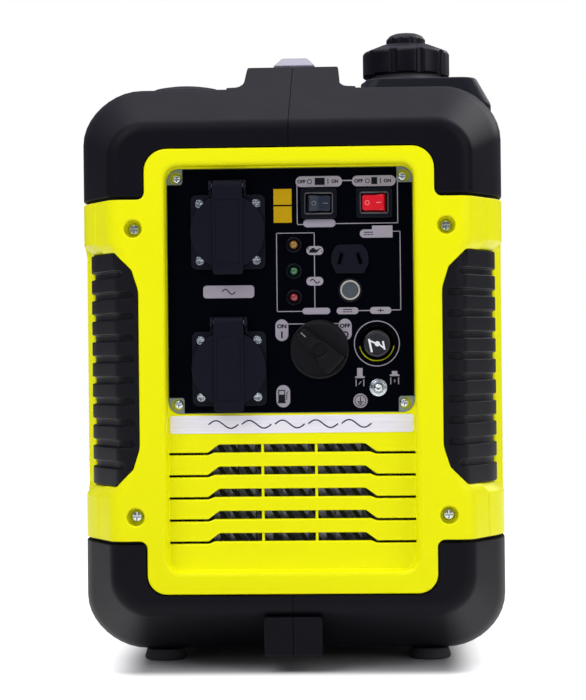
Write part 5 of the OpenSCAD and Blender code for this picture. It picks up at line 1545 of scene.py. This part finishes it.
def fasteners():
    """The screws' heads, the earth bolt, and darker yellow discs under the panel's screws that paint the
    shade in the recesses round them.
    """
    refine("panel_screws", name="panel_screw_heads", width=0.18, segments=2)
    refine("case_screws", name="case_screw_heads", width=0.22, segments=2)
    earth_bolt()
    lug_shade_discs = []
    for x, z in PLATE_SCREWS:
        shape = disc(x + math.copysign(0.7, x), z + (-0.3 if z < 200 else 0.6), 4.2, 36)
        lug_shade_discs.append(prism("lug", "y", shape, RECESS_Y - 0.06, RECESS_Y + 0.2))
    # Darker yellow than the covers: painted shade of the recess round each panel screw, not a different
    # plastic.
    painted_shade = moulded("Shaded Lug Plastic", linear(165, 166, 30), 0.5, 1.2, 0.01, 0.1, 0.1, 0.0)
    complete(joined("screw_lugs", lug_shade_discs), "casing", "body_yellow", material=painted_shade)


def feet():
    """The rubber feet, with rounded edges."""
    refine("feet", name="feet_rounded", width=0.9, segments=3, limit=25)


def starter_and_rear():
    """The starter's handle and housing, the rear panel with its slots, and the silencer."""
    refine("recoil_grip", name="starter_handle", width=1.2, segments=4, limit=28)
    refine("rear_panel", name="rear_louvres", width=0.5, segments=2)
    refine("muffler", name="silencer", width=1.2, segments=3, limit=40)
    refine("recoil_housing", name="starter_housing", width=0.5)


def inner_works():
    """Softens the machined and cast solids that show through openings."""
    for name, width in (("crankcase", 1.0), ("cylinder", 0.4)):
        refine(name, name=name + "_cast", width=width)
    for name, width in (
        ("alternator_rotor", 0.6), ("stator", 0.4), ("recoil_reel", 0.5), ("carburettor", 0.6),
        ("air_filter_box", 1.0), ("inverter_module", 0.4), ("fuel_tank", 1.5), ("crankshaft", 0.5),
    ):
        refine(name, name=name + "_rounded", width=width)


# ---------------------------------------------------------------- studio


def seen_directly(tree):
    """Whether a ray comes from the camera, and whether it mirrors or passes through a surface."""
    rays = tree.nodes.new("ShaderNodeLightPath")
    mirrored_rays = maths(
        tree, "MAXIMUM", rays.outputs["Is Glossy Ray"], rays.outputs["Is Transmission Ray"])
    return rays.outputs["Is Camera Ray"], mirrored_rays


def ramp(tree, value, start, end, low, high, **settings):
    """Value that goes from one to another over a range of its source."""
    return node(
        tree, "ShaderNodeMapRange", [(value, "Value")],
        From_Min=start, From_Max=end, To_Min=low, To_Max=high, **settings,
    ).outputs["Result"]


def surroundings():
    """White to the camera, plain light on the object, and a room that gets lighter upwards in its gloss."""
    world = bpy.data.worlds.new("Studio")
    bpy.context.scene.world = world
    world.use_nodes = True
    tree = world.node_tree
    camera_rays, mirrored_rays = seen_directly(tree)
    height = ramp(tree, coordinates(tree, "Generated", "Z"), 0.0, 0.85, 0.0, 1.0)
    walls = blended(tree, "MIX", height, (0.07, 0.07, 0.09, 1), (0.48, 0.46, 0.58, 1))
    light = blended(tree, "MIX", mirrored_rays, (0.335, 0.34, 0.36, 1), walls)
    light = blended(tree, "MIX", camera_rays, light, (1, 1, 1, 1))
    back = tree.nodes["Background"]
    tree.links.new(light, back.inputs["Color"])
    back.inputs["Strength"].default_value = 1.0


def paper():
    """Pale glossy floor that its own emission keeps white away from the object, with a painted shadow where
    that emission fades out under and round the casing.
    """
    material = bpy.data.materials.new("Studio Paper")
    material.use_nodes = True
    tree = material.node_tree
    surface = tree.nodes["Principled BSDF"]
    surface.inputs["Roughness"].default_value = 0.13
    surface.inputs["Base Color"].default_value = (0.8, 0.79, 0.81, 1)
    beyond = []
    for axis, half in (("X", HALF_W - 45), ("Y", HALF_L - 17)):
        away = maths(tree, "ABSOLUTE", coordinates(tree, "Object", axis), 0.0)
        away = maths(tree, "MAXIMUM", maths(tree, "SUBTRACT", away, half * MM), 0.0)
        beyond.append(maths(tree, "MULTIPLY", away, away))
    apart = maths(tree, "SQRT", maths(tree, "ADD", *beyond), 0.0)
    # Emission is zero under the casing's footprint and rises over 34 mm beyond it: a painted shadow round the
    # object, added to its real shadow.
    painted_shadow_fade = ramp(tree, apart, 0.0, 0.034, 0.0, 0.8, interpolation_type="SMOOTHSTEP")
    far = ramp(tree, apart, 0.05, 0.6, 0.0, 0.17)
    emission_with_painted_shadow = grey(tree, maths(tree, "ADD", painted_shadow_fade, far))
    lift = blended(tree, "MIX", maths(tree, "MAXIMUM", *seen_directly(tree)), (0, 0, 0, 1), emission_with_painted_shadow)
    tree.links.new(lift, surface.inputs["Emission Color"])
    surface.inputs["Emission Strength"].default_value = 1.0
    return material


def light_up():
    """Four rectangular lights that aim at the middle of the casing."""
    powers = bpy.context.scene.generator_studio
    for name, place, size, power in (
        ("key", (-1.1, -1.5, 1.9), (1.5, 1.5), powers.key_power),
        ("fill", (1.6, -1.3, 1.1), (1.4, 1.6), powers.fill_power),
        ("top", (0, 0.1, 2.2), (2.2, 2.2), powers.top_power),
        ("rim", (1.3, 1.2, 1.5), (0.8, 1.4), powers.rim_power),
    ):
        clear_selection()
        bpy.ops.object.light_add(type="AREA", location=place)
        lamp = bpy.context.object
        lamp.name = lamp.data.name = "studio_" + name
        lamp.data.shape = "RECTANGLE"
        lamp.data.size, lamp.data.size_y = size
        lamp.data.energy = power
        aim = Vector((0, 0, 0.22)) - Vector(place)
        lamp.rotation_euler = aim.to_track_quat("-Z", "Y").to_euler()


def set_camera():
    """Camera a little to the right of straight ahead, with a long lens."""
    clear_selection()
    bpy.ops.object.camera_add()
    camera = bpy.context.object
    camera.name = "studio_camera"
    azimuth, roll = math.radians(2.3), math.radians(0.6)
    distance, height = 1350.0, 213.0
    across, ahead = distance * math.sin(azimuth), distance * math.cos(azimuth)
    camera.location = Vector((across, FRONT - ahead, height)) * MM
    away = Vector((-math.sin(azimuth), math.cos(azimuth), 0))
    level = away.to_track_quat("-Z", "Y").to_matrix()
    camera.rotation_euler = (Matrix.Rotation(roll, 3, away) @ level).to_euler()
    camera.data.lens = 104.1
    camera.data.sensor_width = 36
    camera.data.sensor_fit = "AUTO"
    camera.data.shift_x = 0.0039
    camera.data.shift_y = 0.0071
    camera.data.clip_end = 50
    bpy.context.scene.camera = camera


def studio():
    """Surroundings, floor, lights and camera."""
    bpy.context.scene.view_settings.view_transform = "Standard"
    surroundings()
    clear_selection()
    bpy.ops.mesh.primitive_plane_add(size=5)
    floor = named("studio_floor")
    floor.data.materials.append(paper())
    light_up()
    set_camera()


# ---------------------------------------------------------------- settings


def colour_setting(label, about, rgb):
    """Colour in a PropertyGroup, whose default is written in 0 to 255."""
    return bpy.props.FloatVectorProperty(
        name=label, description=about, default=linear(*rgb), subtype="COLOR", min=0.0, max=1.0)


def edge_setting(label, pieces, width, widest=2.0):
    """Width of some pieces' rounded edges in a PropertyGroup."""
    about = f"Width of the rounded edges of the {pieces}, in millimetres"
    return bpy.props.FloatProperty(name=label, description=about, default=width, min=0.2, max=widest)


def power_setting(label, place, power):
    """Power of a light in a PropertyGroup."""
    return bpy.props.FloatProperty(
        name=label, description=f"Power of the {place}", default=power, min=0.0, unit="POWER")


class GeneratorColours(bpy.types.PropertyGroup):
    shell: colour_setting("Shells", "Colour of the black casing shells", (11, 10, 18))
    yellow: colour_setting("Covers", "Colour of the front, rear and side covers", (250, 249, 0))
    grip: colour_setting("Corner Grips", "Colour of the ribbed corner grips", (11, 11, 18))
    silver: colour_setting("Handle Insert", "Colour of the insert in the carrying handle", (148, 147, 158))
    cover: colour_setting("Deck", "Colour of the filler deck and the service cover", (14, 16, 27))
    cap: colour_setting("Fuel Cap", "Colour of the fuel cap and its vent knob", (8, 9, 20))
    panel: colour_setting("Panel Film", "Ground colour of the printed panel", (1, 2, 8))
    print_grey: colour_setting("Panel Print", "Colour of the panel's lines and labels", (158, 152, 164))
    amber: colour_setting("Panel Squares", "Colour of the two squares beside the switches", (192, 154, 2))
    strip: colour_setting("Strip", "Colour of the strip under the panel", (246, 243, 251))
    socket: colour_setting("Sockets", "Colour of the mains sockets and their lids", (12, 14, 26))
    red: colour_setting("Engine Rocker", "Colour of the engine switch's rocker", (226, 18, 40))


class GeneratorSizes(bpy.types.PropertyGroup):
    shell_edge: edge_setting("Shell Edge", "casing shells", 0.8)
    cover_edge: edge_setting("Cover Edge", "yellow covers", 0.9)
    grip_edge: edge_setting("Grip Edge", "corner grips", 0.8, 1.5)
    print_height: bpy.props.FloatProperty(
        name="Print Height",
        description="How far the panel's print stands above its film, in millimetres",
        default=0.05,
        min=0.02,
        max=0.2,
    )


class GeneratorStudio(bpy.types.PropertyGroup):
    key_power: power_setting("Key Light", "large light at the front left", 26.0)
    fill_power: power_setting("Fill Light", "large light at the front right", 14.5)
    rim_power: power_setting("Rim Light", "light behind the upper right corner", 13.0)
    top_power: power_setting("Top Light", "light over the object", 20.0)


# ---------------------------------------------------------------- operators


class GENERATOR_OT_studio(bpy.types.Operator):
    """Sets up the floor, the lights and the camera"""

    bl_idname = "generator.studio"
    bl_label = "Studio"

    def execute(self, context):
        studio()
        return {"FINISHED"}


class GENERATOR_OT_shells(bpy.types.Operator):
    """Builds the two black casing shells with the carrying handle"""

    bl_idname = "generator.shells"
    bl_label = "Casing Shells"

    def execute(self, context):
        shells(context.scene.generator_sizes.shell_edge)
        return {"FINISHED"}


class GENERATOR_OT_covers(bpy.types.Operator):
    """Builds the yellow front, rear and side covers"""

    bl_idname = "generator.covers"
    bl_label = "Yellow Covers"

    def execute(self, context):
        edge = context.scene.generator_sizes.cover_edge
        front_cover(edge)
        rear_cover(edge)
        side_cover(-1, edge)
        side_cover(1, edge)
        return {"FINISHED"}


class GENERATOR_OT_corner_grips(bpy.types.Operator):
    """Builds the four ribbed corner grips"""

    bl_idname = "generator.corner_grips"
    bl_label = "Corner Grips"

    def execute(self, context):
        corner_grips(context.scene.generator_sizes.grip_edge)
        return {"FINISHED"}


class GENERATOR_OT_handle_insert(bpy.types.Operator):
    """Builds the silver insert of the carrying handle"""

    bl_idname = "generator.handle_insert"
    bl_label = "Handle Insert"

    def execute(self, context):
        handle_insert()
        return {"FINISHED"}


class GENERATOR_OT_filler(bpy.types.Operator):
    """Builds the filler deck, the fuel cap, its vent knob and the neck"""

    bl_idname = "generator.filler"
    bl_label = "Filler"

    def execute(self, context):
        filler()
        return {"FINISHED"}


class GENERATOR_OT_service_cover(bpy.types.Operator):
    """Builds the round service cover on the top"""

    bl_idname = "generator.service_cover"
    bl_label = "Service Cover"

    def execute(self, context):
        service_cover()
        return {"FINISHED"}


class GENERATOR_OT_panel_print(bpy.types.Operator):
    """Prints the lines, labels and pictograms of the control panel, and the strip under it"""

    bl_idname = "generator.panel_print"
    bl_label = "Panel Print"

    def execute(self, context):
        panel_print()
        strip_print()
        return {"FINISHED"}


class GENERATOR_OT_outlets(bpy.types.Operator):
    """Builds the mains sockets, the low-voltage outlet and its reset button"""

    bl_idname = "generator.outlets"
    bl_label = "Outlets"

    def execute(self, context):
        outlets()
        return {"FINISHED"}


class GENERATOR_OT_switches(bpy.types.Operator):
    """Builds the two rocker switches"""

    bl_idname = "generator.switches"
    bl_label = "Switches"

    def execute(self, context):
        switches()
        return {"FINISHED"}


class GENERATOR_OT_lamps(bpy.types.Operator):
    """Builds the three indicator lamps"""

    bl_idname = "generator.lamps"
    bl_label = "Lamps"

    def execute(self, context):
        lamps()
        return {"FINISHED"}


class GENERATOR_OT_knobs(bpy.types.Operator):
    """Builds the fuel knob and the choke knob"""

    bl_idname = "generator.knobs"
    bl_label = "Knobs"

    def execute(self, context):
        fuel_knob()
        choke_knob()
        return {"FINISHED"}


class GENERATOR_OT_fasteners(bpy.types.Operator):
    """Builds the screws and the earth bolt"""

    bl_idname = "generator.fasteners"
    bl_label = "Fasteners"

    def execute(self, context):
        fasteners()
        return {"FINISHED"}


class GENERATOR_OT_feet(bpy.types.Operator):
    """Builds the rubber feet"""

    bl_idname = "generator.feet"
    bl_label = "Feet"

    def execute(self, context):
        feet()
        return {"FINISHED"}


class GENERATOR_OT_starter_and_rear(bpy.types.Operator):
    """Builds the starter's handle and housing, the rear panel and the silencer"""

    bl_idname = "generator.starter_and_rear"
    bl_label = "Starter and Rear"

    def execute(self, context):
        starter_and_rear()
        return {"FINISHED"}


class GENERATOR_OT_inner_works(bpy.types.Operator):
    """Softens the engine, the alternator and the other works inside"""

    bl_idname = "generator.inner_works"
    bl_label = "Inner Works"

    def execute(self, context):
        inner_works()
        return {"FINISHED"}


class GENERATOR_OT_finishes(bpy.types.Operator):
    """Gives every remaining solid the finish of its slot"""

    bl_idname = "generator.finishes"
    bl_label = "Finishes"

    def execute(self, context):
        for name, solid in NODES.items():
            if not solid.hide_render:
                solid.data.materials.clear()
                solid.data.materials.append(finish(SLOT_OF[name]))
        return {"FINISHED"}


class GENERATOR_PT_panel(bpy.types.Panel):
    """Lists the steps that build the generator"""

    bl_idname = "GENERATOR_PT_panel"
    bl_label = "Portable Generator"
    bl_space_type = "VIEW_3D"
    bl_region_type = "UI"
    bl_category = "Generator"

    def draw(self, context):
        scene = context.scene
        column = self.layout.column()
        for step in STEPS:
            column.operator(step.bl_idname)
        for group in (scene.generator_sizes, scene.generator_colours, scene.generator_studio):
            for field in group.bl_rna.properties:
                if field.identifier not in ("name", "rna_type"):
                    column.prop(group, field.identifier)


STEPS = (
    GENERATOR_OT_studio,
    GENERATOR_OT_shells,
    GENERATOR_OT_covers,
    GENERATOR_OT_corner_grips,
    GENERATOR_OT_handle_insert,
    GENERATOR_OT_filler,
    GENERATOR_OT_service_cover,
    GENERATOR_OT_panel_print,
    GENERATOR_OT_outlets,
    GENERATOR_OT_switches,
    GENERATOR_OT_lamps,
    GENERATOR_OT_knobs,
    GENERATOR_OT_fasteners,
    GENERATOR_OT_feet,
    GENERATOR_OT_starter_and_rear,
    GENERATOR_OT_inner_works,
    GENERATOR_OT_finishes,
)
CLASSES = (GeneratorColours, GeneratorSizes, GeneratorStudio, *STEPS, GENERATOR_PT_panel)


def register():
    """Adds the classes, and the settings to the scene."""
    for kind in CLASSES:
        bpy.utils.register_class(kind)
    bpy.types.Scene.generator_colours = bpy.props.PointerProperty(type=GeneratorColours)
    bpy.types.Scene.generator_sizes = bpy.props.PointerProperty(type=GeneratorSizes)
    bpy.types.Scene.generator_studio = bpy.props.PointerProperty(type=GeneratorStudio)


def unregister():
    """Takes the settings and the classes away again."""
    del bpy.types.Scene.generator_studio
    del bpy.types.Scene.generator_sizes
    del bpy.types.Scene.generator_colours
    for kind in reversed(CLASSES):
        bpy.utils.unregister_class(kind)


def main():
    """Builds everything in order."""
    register()
    for step in STEPS:
        group, name = step.bl_idname.split(".")
        getattr(getattr(bpy.ops, group), name)()
    clear_selection()


if __name__ == "__main__":
    main()
